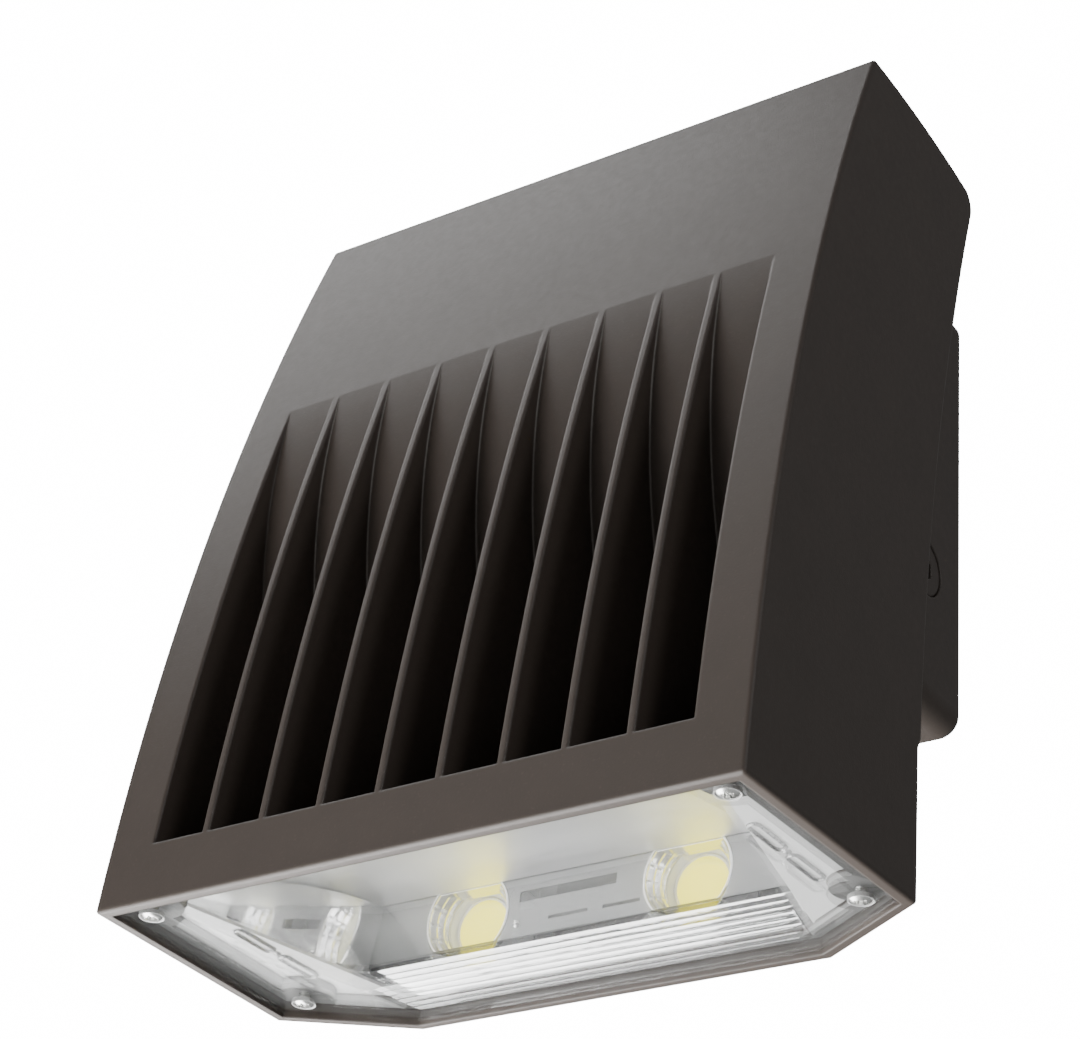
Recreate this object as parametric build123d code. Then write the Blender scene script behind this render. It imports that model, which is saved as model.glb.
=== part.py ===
"""Wall pack light: a finned door casting that hinges up from a square back box on the wall.

Lengths are in millimetres. Pieces are drawn in the door's own frame: X runs across, Y runs
from the front bottom edge towards the wall, and Z runs up from the rim round the lens. The
last step moves them all to the wall frame, whose origin is the middle of the back box on
the wall, with +Y into the wall.
"""
from build123d import *
from math import asin, cos, degrees, radians, sin, sqrt, tan
import os

os.makedirs("parts", exist_ok=True)

# Door casting, seen from the side
door_height = 292.0
door_lean = 62.1            # the top front edge stands this far behind the bottom front edge
door_crown = 10.5           # bulge of the front face over its straight line
top_fall = 12.6             # the top slopes down by this much towards the wall
top_crown = 2.1
parting_depth = 133.0       # from the front bottom edge to the joint with the back box
chamber_depth = 117.5       # depth of the door at the lens
chamber_back_height = 50.0  # the back stands upright to here, then flares out
flare_gap = 6.0             # the flare ends this far under the back box
wall_thickness = 3.0
edge_radius = 1.2

# Door casting, seen from below
door_width = 227.7
side_flare = 0.0249         # each side moves out by this much for each millimetre of depth
side_taper = 0.0067         # and in by this much for each millimetre of height
side_depth = 92.5           # depth of the side at the lens
corner_width = 41.0         # the slanted rear corner takes this much of the width

# Rear edge of the side, from the lens rim to the top
side_step = 2.1             # the edge steps back by this much above the optical chamber
side_step_rise = 4.0
side_top_drop = 20.0        # the straight part ends this far under the top
side_top_depth = 128.5
side_bow = 6.1              # the upper part of the edge bows forward by this much
top_corner_run = 9.0        # the rounded top rear corner

# Cooling fins: open slots whose floor is one round scoop
slot_count = 9
slot_margin = 18.05         # from the outer slots to the sides of the door
fin_thickness = 2.6
fin_draft = 0.8             # degrees, on each flank of a slot
fin_edge_radius = 0.8
slot_low = 20.5             # height of the slots' lower end at the face
slot_low_rise = 0.24        # the lower end rises by this much for each millimetre inwards
scoop_radius = 215.0
scoop_drop = 132.0          # the scoop stands upright this far under the door's top
scoop_run = 37.53           # and runs out through the face this far over that place
slot_over = 7.5             # the cut goes on by this much over the run-out

# Lens and its seat
rim_width = 4.0
lens_thickness = 4.0
lens_recess = 1.2
lens_clearance = 0.4
lens_gasket_thickness = 1.5
gasket_inset = 0.6
window_front = 7.5
window_side = 12.5
window_slant = 9.5
window_rear = 7.5
lens_screw_radius = 1.7
lens_screw_hole = 11.0      # depth of the tapped hole over the gasket
lens_screw_spare = 2.0      # the screw stops this far short of the hole's end
lens_screw_head_radius = 3.5
lens_screw_head = 2.0
lens_screw_sink = 1.6       # the heads sit this deep in the lens
lens_screw_room = 0.5
front_screw_side = 12.35    # from the door's side to the front screws
front_screw_depth = 12.0
rear_screw_side = 12.6
rear_screw_forward = 5.5    # the rear screws stand this far in front of the corner
lobe_radius = 9.5

# Optical chamber
chamber_top = 46.0
chamber_step_forward = 46.5  # the high part of the chamber is this deep
sheet = 0.8                 # reflector sheet
sheet_gap = 0.4
ceiling_front = 8.5
ceiling_low = 8.4
ceiling_forward = 28.0      # the LED wall stands this far in front of the door's back
ceiling_high = 32.0
ceiling_bow = 6.0
ceiling_margin = 25.85
cup_mouth = 15.5
cup_throat = 12.0
cup_gap = 0.3
led_wall_low = 12.3
led_wall_slots = [(-21.0, 15.0, 24.0, 27.5), (-9.5, 5.0, 16.4, 17.6), (10.5, 24.0, 16.4, 17.6)]
end_wall_margin = 16.35     # from the door's side to the front foot of the end wall
end_wall_turn = 13.0        # degrees, seen from below
end_wall_lean = 9.7         # degrees, leaning in at the top
end_wall_inset = 3.0        # the end walls stop this far short of the front and rear edges
end_wall_front = 0.5        # height of their front end over the ceiling's front edge
panel_gap = 0.6
panel_lift = 0.5            # the end panels lie this far over the lens gasket
flute_count = 6
flute_high = 10.2
flute_low = 7.9
flute_depth = 0.7
flute_gap = 0.5

# LED modules
led_spacing = 81.2
led_height = 22.6
led_forward = 19.1          # the LED faces stand this far in front of the door's back
led_radius = 9.2
led_dam = 0.8
led_dam_height = 0.6
phosphor_sink = 0.1
board_size = 21.0
board_thickness = 1.6
pad_thickness = 0.4
holder_width = 36.0
holder_height = 22.4
holder_stand = 2.4          # the holders stand this far in front of the LED faces
holder_corner = 4.0
holder_funnel = 1.2
holder_room = 0.2
mount_pad_width = 38.0
mount_pad_low = 11.8
holder_screw_offset = 14.3
small_screw_radius = 1.25
small_screw_head_radius = 2.4
small_screw_head = 1.4
small_screw_length = 8.0

# Driver tray in the door
tray_forward = 71.0         # the tray stands this far in front of the parting joint
tray_thickness = 1.5
tray_half_width = 82.0
tray_rise = 13.0            # the tray's lower edge lies this far over the back box's
tray_height = 114.0
tray_screw_inset = 8.0
tray_corner = 5.0
tray_boss_radius = 4.5
tray_screw_radius = 1.95
tray_head_radius = 3.8
tray_screw_head = 2.6
tray_screw_length = 10.0
tray_hole_spare = 1.0       # the tapped hole goes this much deeper than the screw
thread_clearance = 0.05
hole_clearance = 0.3
drive_depth = 0.6           # shares of a screw head's height and radius
drive_share = 0.45
driver_rise = 6.0
driver_width = 108.0
driver_height = 60.0
driver_thick = 31.0
driver_flange = 14.0
flange_thickness = 2.0
module_screw_length = 5.0
case_corner = 3.0
case_chamfer = 1.2
surge_rise = 10.0           # over the driver
surge_width = 44.0
surge_height = 26.0
surge_thick = 23.0
surge_across = -36.0
surge_flange = 9.0
surge_lead_pitch = 10.0
terminal_rise = 14.0        # over the driver
terminal_ways = 3
terminal_pitch = 12.0
terminal_height = 20.0
terminal_thick = 14.0
terminal_across = 36.0
port_radius = 2.2
port_depth = 7.0
lead_radius = 1.3
lead_gap = 0.7
lead_drop = 6.0             # the leads run this far under the chamber's ceiling
lead_bend = 4.0

# Seal and wire pass between the chamber and the tray space
grommet_room = 1.5
grommet_hole_radius = 6.0
grommet_bore_radius = 3.6
grommet_flange = 2.0
grommet_lip = 1.5
vent_height = 30.0
vent_thread_radius = 5.8
vent_cap_radius = 8.5
vent_cap = 3.5
vent_chamfer = 1.0
vent_bore_radius = 2.0

# Back box
box_width = 169.0
box_height = 169.0
box_drop = 20.0             # the box's top lies this far under the door's top
box_corner = 8.0
box_wall = 3.0
box_floor = 3.5
wall_depth = 183.5          # from the front bottom edge to the wall
wall_gasket_thickness = 2.0
wall_gasket_inset = 1.0
seal_gap = 0.3
neck_margin = 4.0           # the door's neck stands outside the box by this much
neck_wall = 12.0
neck_length = 23.0
groove_lip = 2.5
groove_width = 7.0
groove_depth = 3.0
groove_room = 0.3
wire_hole_radius = 15.0
wall_hole_spacing = 127.0
wall_hole_radius = 3.2
junction_spacing = 88.9
junction_hole_radius = 2.6
junction_slot_length = 12.0
hub_from_wall = 26.0
hub_rise = 52.0             # the side hubs stand this far over the box's bottom
hub_radius = 15.0
hub_length = 9.0
plug_radius = 10.65
plug_length = 11.0
plug_socket = 4.8
plug_socket_depth = 6.0
plug_inset = 0.3            # the plugs end this far inside the box's face
plug_chamfer = 0.8
ground_across = -52.0
ground_up = 30.0
ground_boss = 6.0
ground_boss_radius = 5.0
ground_screw_length = 7.0

# Hinge along the top of the back box
hinge_behind_joint = 5.0
hinge_above_box = 5.0
hinge_spacing = 104.0
knuckle_radius = 4.2
door_knuckle = 12.0
box_knuckle = 5.0
knuckle_gap = 0.5
pin_radius = 1.95
pin_clearance = 0.05
pin_head_radius = 3.2
pin_head = 1.5

# Closure under the back box: a captive screw, a square nut and a slotted ear
closure_spacing = 116.0
closure_behind_joint = 9.0
ear_half_width = 8.0
ear_length = 18.0
ear_plate = 4.0
nut_channel = 8.0
nut_width = 8.0
nut_thickness = 4.0
nut_gap = 0.3
closure_screw_radius = 2.5
closure_tip_gap = 1.0
closure_head_radius = 4.75
closure_head = 4.0
tab_thickness = 4.0
tab_gap = 0.5
tab_half_width = 10.0
tab_margin = 2.0            # metal behind the screw head on the tab

# Places worked out from the sizes above
corner_depth = chamber_depth - side_depth
side_top_height = door_height - side_top_drop
scoop_height = door_height - scoop_drop
slot_top = scoop_height + scoop_run + slot_over
slot_field = door_width - 2 * slot_margin
slot_pitch = (slot_field + fin_thickness) / slot_count
slot_width = slot_pitch - fin_thickness
ledge = lens_recess + lens_thickness + lens_gasket_thickness
panel_height = ledge + panel_lift
tray_floor = chamber_back_height
chamber_step_depth = chamber_depth - chamber_step_forward
ceiling_back = chamber_depth - ceiling_forward
ceiling_half_width = door_width / 2 - ceiling_margin
end_wall_start = door_width / 2 - end_wall_margin
flute_back = chamber_depth - window_rear - flute_gap
led_face_depth = chamber_depth - led_forward
holder_front = led_face_depth - holder_stand
board_front = led_face_depth + led_dam_height
pad_front = board_front + board_thickness
mount_pad_front = pad_front + pad_thickness
lens_screw_places = [
    (door_width / 2 - front_screw_side, front_screw_depth),
    (door_width / 2 - rear_screw_side, side_depth - rear_screw_forward),
]
box_top = door_height - box_drop
box_bottom = box_top - box_height
box_middle = (box_top + box_bottom) / 2
box_front = parting_depth + seal_gap
box_back = wall_depth - wall_gasket_thickness
box_inside_back = box_back - box_floor
flare_height = box_bottom - flare_gap
neck_start = parting_depth - neck_length
hub_depth = wall_depth - hub_from_wall
hub_height = box_bottom + hub_rise
tray_depth = parting_depth - tray_forward
tray_back = tray_depth + tray_thickness
tray_low = box_bottom + tray_rise
tray_high = tray_low + tray_height
driver_low = tray_low + driver_rise
driver_high = driver_low + driver_height
surge_low = driver_high + surge_rise
terminal_low = driver_high + terminal_rise
hinge_depth = parting_depth + hinge_behind_joint
hinge_height = box_top + hinge_above_box
closure_depth = parting_depth + closure_behind_joint
ear_low = box_bottom - nut_channel - ear_plate
tab_top = ear_low - tab_gap
tab_low = tab_top - tab_thickness
to_wall_frame = Location((0, -wall_depth, -box_middle))


def side_face(*edges):
    """A face in the Y-Z plane from edges drawn as (depth, height)."""
    return make_face(Plane.YZ * Curve(children=list(edges)))


def block(x0, x1, y0, y1, z0, z1):
    """A box between two corners."""
    return Pos((x0 + x1) / 2, (y0 + y1) / 2, (z0 + z1) / 2) * Box(x1 - x0, y1 - y0, z1 - z0)


def rod(x, z, y0, y1, radius):
    """A cylinder along Y."""
    return Pos(x, (y0 + y1) / 2, z) * Rot(90, 0, 0) * Cylinder(radius, y1 - y0)


def post(x, y, z0, z1, radius):
    """A cylinder along Z."""
    return Pos(x, y, (z0 + z1) / 2) * Cylinder(radius, z1 - z0)


def bar(x0, x1, y, z, radius):
    """A cylinder along X."""
    return Pos((x0 + x1) / 2, y, z) * Rot(0, 90, 0) * Cylinder(radius, x1 - x0)


def both_sides(shape):
    """The shape and its mirror image across the middle of the light."""
    return shape + mirror(shape, about=Plane.YZ)


def front_depth(height):
    """Depth of the crowned front face at a height."""
    half = door_height / 2
    chord = sqrt(door_height**2 + door_lean**2)
    sag = door_crown * door_height / chord
    radius = (chord**2 / 4 + sag**2) / (2 * sag)
    turn = asin(door_lean / chord)
    middle_y = door_lean / 2 - sag * cos(turn) + radius * cos(turn)
    middle_z = half + sag * sin(turn) - radius * sin(turn)
    return middle_y - sqrt(radius**2 - (height - middle_z) ** 2)


def scoop_depth(height, offset=0.0):
    """Depth of the scoop floor at a height; offset moves it into the casting."""
    reach = scoop_radius - offset
    middle = front_depth(scoop_height + scoop_run) + sqrt(scoop_radius**2 - scoop_run**2)
    return middle - sqrt(reach**2 - (height - scoop_height) ** 2)


def bay_outline(front, side, slant, rear):
    """The six-sided outline seen from below, with each side moved in by its own distance."""
    hypotenuse = sqrt(corner_width**2 + corner_depth**2)
    half = door_width / 2 - side
    reach = (door_width / 2 + side_flare * side_depth) * corner_depth
    reach += side_depth * corner_width - slant * hypotenuse
    back = chamber_depth - rear
    turn_y = (reach - half * corner_depth) / (corner_width + side_flare * corner_depth)
    turn_x = half + side_flare * turn_y
    back_x = (reach - back * corner_width) / corner_depth
    right = [(half + side_flare * front, front), (turn_x, turn_y), (back_x, back)]
    left = [(-x, y) for x, y in reversed(right)]
    return make_face(Polyline(*right, *left, close=True))


def door_form(inset=0.0):
    """The outer form of the door, or the same form moved in all round."""
    top_back = door_height - top_fall
    profile = side_face(
        ThreePointArc(
            (0, 0), (front_depth(door_height / 2), door_height / 2), (door_lean, door_height)
        ),
        ThreePointArc(
            (door_lean, door_height),
            ((door_lean + parting_depth) / 2, door_height - top_fall / 2 + top_crown),
            (parting_depth, top_back),
        ),
        Polyline(
            (parting_depth, top_back),
            (parting_depth, flare_height),
            (chamber_depth, chamber_back_height),
            (chamber_depth, 0),
            (0, 0),
        ),
    )
    if inset:
        profile = offset(profile, amount=-inset, kind=Kind.INTERSECTION)
    form = extrude(profile, amount=door_width, both=True)
    for hand in (1, -1):
        outward = Plane(
            origin=(hand * (door_width / 2 - inset), 0, 0),
            z_dir=(hand, -side_flare, side_taper),
        )
        form = split(form, bisect_by=outward, keep=Keep.BOTTOM)
    corner = rear_corner(inset)
    return form - corner - mirror(corner, about=Plane.YZ)


def rear_corner(inset=0.0):
    """What the slanted rear corner takes off: the side's rear edge swept along the slant."""
    low = (side_depth + side_step / 4, chamber_back_height)
    step = (side_depth + side_step, chamber_back_height + side_step_rise)
    middle_z = (step[1] + side_top_height) / 2
    middle = ((step[0] + side_top_depth) / 2 - side_bow, middle_z)
    top = (side_top_depth, side_top_height)
    over = side_top_height + top_corner_run
    corner = (side_top_depth - top_corner_run / 9, over - top_corner_run / 4)
    end = (side_top_depth - top_corner_run, over + top_corner_run / 4)
    clear = door_height + parting_depth
    region = side_face(
        Polyline((side_depth, -1), low, step),
        ThreePointArc(step, middle, top),
        ThreePointArc(top, corner, end),
        Polyline(end, (end[0], clear), (clear, clear), (clear, -1), (side_depth, -1)),
    )
    slant = Vector(-corner_width, corner_depth, 0)
    inward = Vector(-corner_depth, -corner_width, 0).normalized() * inset
    start_x = door_width / 2 + side_flare * side_depth
    start = Vector(start_x, 0, 0) - slant * 0.3 + inward
    return extrude(Pos(*start) * region, amount=slant.length * 2.6, dir=slant)


def slot_cutter():
    """One slot between two fins: the scoop, its sloping lower end and two drafted flanks."""
    ahead = -15.0
    low_ahead = slot_low + slot_low_rise * ahead
    foot_y = scoop_depth(slot_low)
    for _ in range(20):
        foot_z = slot_low + slot_low_rise * foot_y
        foot_y = scoop_depth(foot_z)
    region = side_face(
        Polyline((ahead, slot_top), (ahead, low_ahead), (foot_y, foot_z)),
        ThreePointArc(
            (foot_y, foot_z),
            (scoop_depth(scoop_height), scoop_height),
            (scoop_depth(slot_top), slot_top),
        ),
        Line((scoop_depth(slot_top), slot_top), (ahead, slot_top)),
    )
    cutter = extrude(region, amount=slot_width, both=True)
    for hand in (1, -1):
        flank = Plane(
            origin=(hand * slot_width / 2, 0, 0),
            z_dir=(hand * cos(radians(fin_draft)), sin(radians(fin_draft)), 0),
        )
        cutter = split(cutter, bisect_by=flank, keep=Keep.BOTTOM)
    return cutter


def window_inside(clear=0.0):
    """The opening that the lens closes, moved in all round by a clearance."""
    return bay_outline(
        window_front + clear, window_side + clear, window_slant + clear, window_rear + clear
    )


def chamber_space():
    """The hollow over the lens, with lobes of metal left round the lens screws."""
    window = window_inside()
    space = extrude(Pos(0, 0, ledge) * window, amount=chamber_top - ledge)
    under_slots = slot_low - wall_thickness
    rise = slot_low_rise * chamber_step_depth
    over = side_face(
        Polyline(
            (0, under_slots),
            (chamber_step_depth, under_slots + rise),
            (chamber_step_depth, chamber_top + 1),
            (0, chamber_top + 1),
            close=True,
        )
    )
    space -= extrude(over, amount=door_width, both=True)
    for x, y in lens_screw_places:
        space -= both_sides(post(x, y, ledge - 1, chamber_top + 1, lobe_radius))
    half = mount_pad_width / 2
    for x in led_places():
        space -= block(
            x - half, x + half, mount_pad_front, chamber_depth, mount_pad_low, chamber_top + 1
        )
    return space


def grommet_place():
    """Depth of the grommet's middle: its flange clears the chamber's step and the scoop's wall."""
    front = max(chamber_step_depth, scoop_depth(tray_floor, wall_thickness))
    return front + grommet_hole_radius + grommet_flange + grommet_room


def tray_space():
    """The hollow behind the fins, open to the back box through the neck."""
    space = door_form(wall_thickness)
    space -= block(-door_width, door_width, 0, 2 * parting_depth, 0, tray_floor)
    field = slot_field / 2 + wall_thickness
    low = tray_floor - wall_thickness
    high = slot_top + wall_thickness
    low_point = (scoop_depth(low, wall_thickness), low)
    middle_point = (scoop_depth(scoop_height, wall_thickness), scoop_height)
    high_point = (scoop_depth(high, wall_thickness), high)
    shield = side_face(
        Polyline((0, high), (0, low), low_point),
        ThreePointArc(low_point, middle_point, high_point),
        Line(high_point, (0, high)),
    )
    return space - extrude(shield, amount=field, both=True)


def square_ring(outer_margin, width, y0, y1):
    """A rounded square ring that follows the back box's outline, moved out by a margin."""
    outer = square_plate(outer_margin, y0, y1)
    return outer - square_plate(outer_margin - width, y0 - 1, y1 + 1)


def square_plate(margin, y0, y1):
    """A rounded square plate that follows the back box's outline, moved out by a margin."""
    outline = RectangleRounded(
        box_width + 2 * margin, box_height + 2 * margin, max(box_corner + margin, 1.0)
    )
    face = Plane(origin=(0, y0, box_middle), x_dir=(1, 0, 0), z_dir=(0, 1, 0)) * outline
    return extrude(face, amount=y1 - y0)


def tray_screw_places():
    """Across and height of the tray's four fixing screws."""
    across = tray_half_width - tray_screw_inset
    heights = (tray_low + tray_screw_inset, tray_high - tray_screw_inset)
    return [(x, z) for x in (-across, across) for z in heights]


def rounded_slot(form):
    """One slot with its mouth flared, so that the edges of the fins beside it come out round."""
    cut = form - slot_cutter()
    face = max(cut.faces().filter_by(GeomType.CYLINDER), key=lambda each: each.area)
    return form - cut.fillet(fin_edge_radius, face.inner_wires()[0].edges())


def finned_form():
    """The outer form with its long edges rounded and the row of slots cut into its front."""
    form = door_form()
    slot = rounded_slot(form)
    front = form.faces().sort_by(Axis.Y)[0]
    left = form.faces().sort_by(Axis.X)[0]
    right = form.faces().sort_by(Axis.X)[-1]
    bottom = form.faces().sort_by(Axis.Z)[0]
    rounded = []
    for edge in [edge for face in (front, left, right, bottom) for edge in face.edges()]:
        if edge not in rounded:
            rounded.append(edge)
    form = form.fillet(edge_radius, rounded)
    first = -(slot_count - 1) / 2 * slot_pitch
    for number in range(slot_count):
        form -= Pos(first + number * slot_pitch, 0, 0) * slot
    return form


def make_housing():
    """The door: one die casting with fins, optical chamber, tray space, neck and hinges."""
    housing = finned_form()
    housing += square_plate(neck_margin, neck_start, parting_depth)
    rim = bay_outline(rim_width, rim_width, rim_width, rim_width)
    housing -= extrude(Pos(0, 0, -1) * rim, amount=ledge + 1)
    housing -= chamber_space()
    housing -= tray_space()
    seal_floor = parting_depth - groove_depth - wall_thickness
    housing += square_ring(neck_margin, neck_wall, seal_floor, parting_depth)
    housing += closure_tabs() + door_knuckles()
    housing -= square_plate(neck_margin - neck_wall, neck_start - wall_thickness, parting_depth + 1)
    groove = square_ring(
        neck_margin - groove_lip, groove_width, parting_depth - groove_depth, parting_depth + 1
    )
    housing -= groove
    for x, z in tray_screw_places():
        wall = scoop_depth(z) if z < slot_top else front_depth(z)
        housing += rod(x, z, wall + wall_thickness / 2, tray_depth, tray_boss_radius)
        bottom = tray_back - tray_screw_length - tray_hole_spare
        housing -= rod(x, z, bottom, tray_depth + 1, tray_screw_radius + thread_clearance)
    for x, y in lens_screw_places:
        hole = post(x, y, ledge - 1, ledge + lens_screw_hole, lens_screw_radius + thread_clearance)
        housing -= both_sides(hole)
    holder_hole_end = mount_pad_front + small_screw_length
    for x in holder_screw_places():
        tapped = small_screw_radius + thread_clearance
        housing -= rod(x, led_height, mount_pad_front - 1, holder_hole_end, tapped)
    grommet_hole = post(0, grommet_place(), chamber_top - 1, tray_floor + 1, grommet_hole_radius)
    housing -= grommet_hole
    vent_hole = vent_thread_radius + thread_clearance
    housing -= rod(0, vent_height, chamber_depth - window_rear - 1, chamber_depth + 1, vent_hole)
    return housing


def door_knuckles():
    """The door's half of the two hinges: one knuckle between two of the back box."""
    front = parting_depth - wall_thickness
    low = hinge_height - knuckle_radius
    high = hinge_height + knuckle_radius
    half = door_knuckle / 2
    bore = pin_radius + pin_clearance
    knuckles = Part()
    for x in hinge_places():
        knuckles += bar(x - half, x + half, hinge_depth, hinge_height, knuckle_radius)
        knuckles += block(x - half, x + half, front, hinge_depth, low, high)
        knuckles -= bar(x - half - 1, x + half + 1, hinge_depth, hinge_height, bore)
    return knuckles


def flare_depth(height):
    """Depth of the door's back where it flares out towards the back box."""
    share = (height - chamber_back_height) / (flare_height - chamber_back_height)
    return chamber_depth + (parting_depth - chamber_depth) * share


def closure_tabs():
    """Two tabs under the neck that carry the captive closure screws."""
    inner = closure_spacing / 2 - tab_half_width
    behind = block(inner, inner + tab_half_width, 0, parting_depth, tab_low, tab_top)
    wall = (door_form() & behind).bounding_box().max.Y
    front = min(flare_depth(tab_low), wall) - wall_thickness
    back = closure_depth + closure_head_radius + tab_margin
    hole = closure_screw_radius + hole_clearance
    tabs = Part()
    for x in closure_places():
        tabs += block(x - tab_half_width, x + tab_half_width, front, back, tab_low, tab_top)
        tabs -= post(x, closure_depth, tab_low - 1, tab_top + 1, hole)
    return tabs


def closure_places():
    """Across places of the two closures."""
    return (-closure_spacing / 2, closure_spacing / 2)


def hinge_places():
    """Across places of the two hinges."""
    return (-hinge_spacing / 2, hinge_spacing / 2)


def led_places():
    """Across places of the two LED modules."""
    return (-led_spacing / 2, led_spacing / 2)


def holder_screw_places():
    """Across places of the screws through the LED holders."""
    offsets = (-holder_screw_offset, holder_screw_offset)
    return [x + side for x in led_places() for side in offsets]


def make_back_box():
    """The back box: a die-cast square box, open to the door, with hinges, ears and hubs."""
    box = square_plate(0, box_front, box_back)
    box -= square_plate(-box_wall, box_front - 1, box_inside_back)
    entry = plug_radius + thread_clearance
    side = box_width / 2
    hub_end = side - box_wall - hub_length
    side_hub = bar(hub_end, side - box_wall / 2, hub_depth, hub_height, hub_radius)
    side_hole = bar(hub_end - 1, side + 1, hub_depth, hub_height, entry)
    hub_top = box_bottom + box_wall + hub_length
    box += both_sides(side_hub) + post(0, hub_depth, box_bottom + box_wall / 2, hub_top, hub_radius)
    box -= both_sides(side_hole) + post(0, hub_depth, box_bottom - 1, hub_top + 1, entry)
    box -= wall_openings(box_inside_back - 1, box_back + 1)
    box += box_knuckles() + closure_ears()
    ground_height = box_middle + ground_up
    boss_front = box_inside_back - ground_boss
    hole_end = boss_front + ground_screw_length + tray_hole_spare
    box += rod(ground_across, ground_height, boss_front, box_inside_back, ground_boss_radius)
    ground_hole = tray_screw_radius + thread_clearance
    return box - rod(ground_across, ground_height, boss_front - 1, hole_end, ground_hole)


def wall_openings(y0, y1):
    """Everything that passes through the rear: wires, wall screws and junction box screws."""
    cuts = rod(0, box_middle, y0, y1, wire_hole_radius)
    for x in (-wall_hole_spacing / 2, wall_hole_spacing / 2):
        for z in (-wall_hole_spacing / 2, wall_hole_spacing / 2):
            cuts += rod(x, box_middle + z, y0, y1, wall_hole_radius)
    for x in (-junction_spacing / 2, junction_spacing / 2):
        slot = SlotOverall(junction_slot_length, 2 * junction_hole_radius)
        face = Plane(origin=(x, y0, box_middle), x_dir=(1, 0, 0), z_dir=(0, 1, 0)) * slot
        cuts += extrude(face, amount=y1 - y0)
    return cuts


def box_knuckles():
    """The back box's half of the hinges: two knuckles on its top wall at each hinge."""
    front = hinge_depth - knuckle_radius
    back = hinge_depth + knuckle_radius
    low = box_top - box_wall / 2
    bore = pin_radius + pin_clearance
    knuckles = Part()
    for x in hinge_places():
        for hand in (-1, 1):
            near = x + hand * (door_knuckle / 2 + knuckle_gap)
            x0, x1 = sorted((near, near + hand * box_knuckle))
            knuckles += bar(x0, x1, hinge_depth, hinge_height, knuckle_radius)
            knuckles += block(x0, x1, front, back, low, hinge_height)
            knuckles -= bar(x0 - 1, x1 + 1, hinge_depth, hinge_height, bore)
    return knuckles


def closure_ears():
    """Ears under the box, open to the front, that the closure screws and nuts slide into."""
    front = box_front
    back = front + ear_length
    top = box_bottom + box_wall / 2
    plate_top = box_bottom - nut_channel
    slot_half = closure_screw_radius + hole_clearance
    nut_half = nut_width / 2 + hole_clearance
    nut_back = closure_depth + nut_half
    ears = Part()
    for x in closure_places():
        ears += block(x - ear_half_width, x + ear_half_width, front, back, ear_low, top)
        ears -= block(x - slot_half, x + slot_half, front - 1, closure_depth, ear_low - 1, box_bottom)
        ears -= post(x, closure_depth, ear_low - 1, box_bottom, slot_half)
        ears -= block(x - nut_half, x + nut_half, front - 1, nut_back, plate_top, box_bottom)
    return ears


def machine_screw(length, radius, head, head_radius):
    """A screw pointing along +Z from the underside of its round head."""
    return post(0, 0, 0, length, radius) + post(0, 0, -head, 0, head_radius)


def socket_screw(length, radius, head, head_radius):
    """A round-headed screw with a hex recess in its head."""
    recess = Pos(0, 0, -head) * RegularPolygon(head_radius * drive_share, 6)
    screw = machine_screw(length, radius, head, head_radius)
    return screw - extrude(recess, amount=head * drive_depth)


def hex_screw(length, radius, head, head_radius):
    """A screw pointing along +Z from the underside of its six-sided head."""
    six_sided = Pos(0, 0, -head) * RegularPolygon(head_radius, 6)
    return post(0, 0, 0, length, radius) + extrude(six_sided, amount=head)


def along_y(shape, x, y, z):
    """Turns a piece drawn along +Z to point along +Y, and sets it in place."""
    return Pos(x, y, z) * Rot(-90, 0, 0) * shape


def against_y(shape, x, y, z):
    """Turns a piece drawn along +Z to point along -Y, and sets it in place."""
    return Pos(x, y, z) * Rot(90, 0, 0) * shape


def make_lens():
    """The flat lens: a six-sided plate of toughened glass with four screw holes."""
    clear = rim_width + lens_clearance
    outline = bay_outline(clear, clear, clear, clear)
    lens = extrude(Pos(0, 0, lens_recess) * outline, amount=lens_thickness)
    for x, y in lens_screw_places:
        hole = post(x, y, 0, ledge, lens_screw_radius + hole_clearance)
        seat = post(x, y, 0, lens_recess + lens_screw_sink, lens_screw_head_radius + lens_screw_room)
        lens -= both_sides(hole + seat)
    return lens


def make_lens_gasket():
    """The grey seal between lens and casting, widened to a lobe round each screw."""
    edge = rim_width + lens_clearance + gasket_inset
    ring = bay_outline(edge, edge, edge, edge)
    window = window_inside()
    for x, y in lens_screw_places:
        for hand in (-1, 1):
            window -= Pos(hand * x, y) * Circle(lobe_radius)
    ring -= window
    for x, y in lens_screw_places:
        for hand in (-1, 1):
            ring -= Pos(hand * x, y) * Circle(lens_screw_radius + hole_clearance)
    return extrude(Pos(0, 0, lens_recess + lens_thickness) * ring, amount=lens_gasket_thickness)


def make_lens_screws():
    """Four screws that clamp the lens and its gasket to the casting."""
    under_head = lens_recess + lens_screw_sink
    reach = ledge - under_head + lens_screw_hole - lens_screw_spare
    screw = socket_screw(reach, lens_screw_radius, lens_screw_head, lens_screw_head_radius)
    screws = [
        Pos(hand * x, y, under_head) * screw for x, y in lens_screw_places for hand in (-1, 1)
    ]
    return Compound(children=screws)


def ceiling_curve(drop=0.0):
    """The bent ceiling of the reflector as (depth, height), moved down by a distance."""
    middle_y = (ceiling_front + ceiling_back) / 2
    middle_z = (ceiling_low + ceiling_high) / 2 + ceiling_bow
    return ThreePointArc(
        (ceiling_front, ceiling_low - drop),
        (middle_y, middle_z - drop),
        (ceiling_back, ceiling_high - drop),
    )


def end_wall_plane(hand, out=0.0):
    """The reflecting plane at one end, with its normal pointing out of the trough."""
    turn = radians(end_wall_turn)
    lean = radians(end_wall_lean)
    normal = Vector(hand * cos(turn) * cos(lean), sin(turn) * cos(lean), sin(lean))
    foot = Vector(hand * end_wall_start, window_front, panel_height)
    return Plane(origin=foot + normal * out, z_dir=normal)


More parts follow.
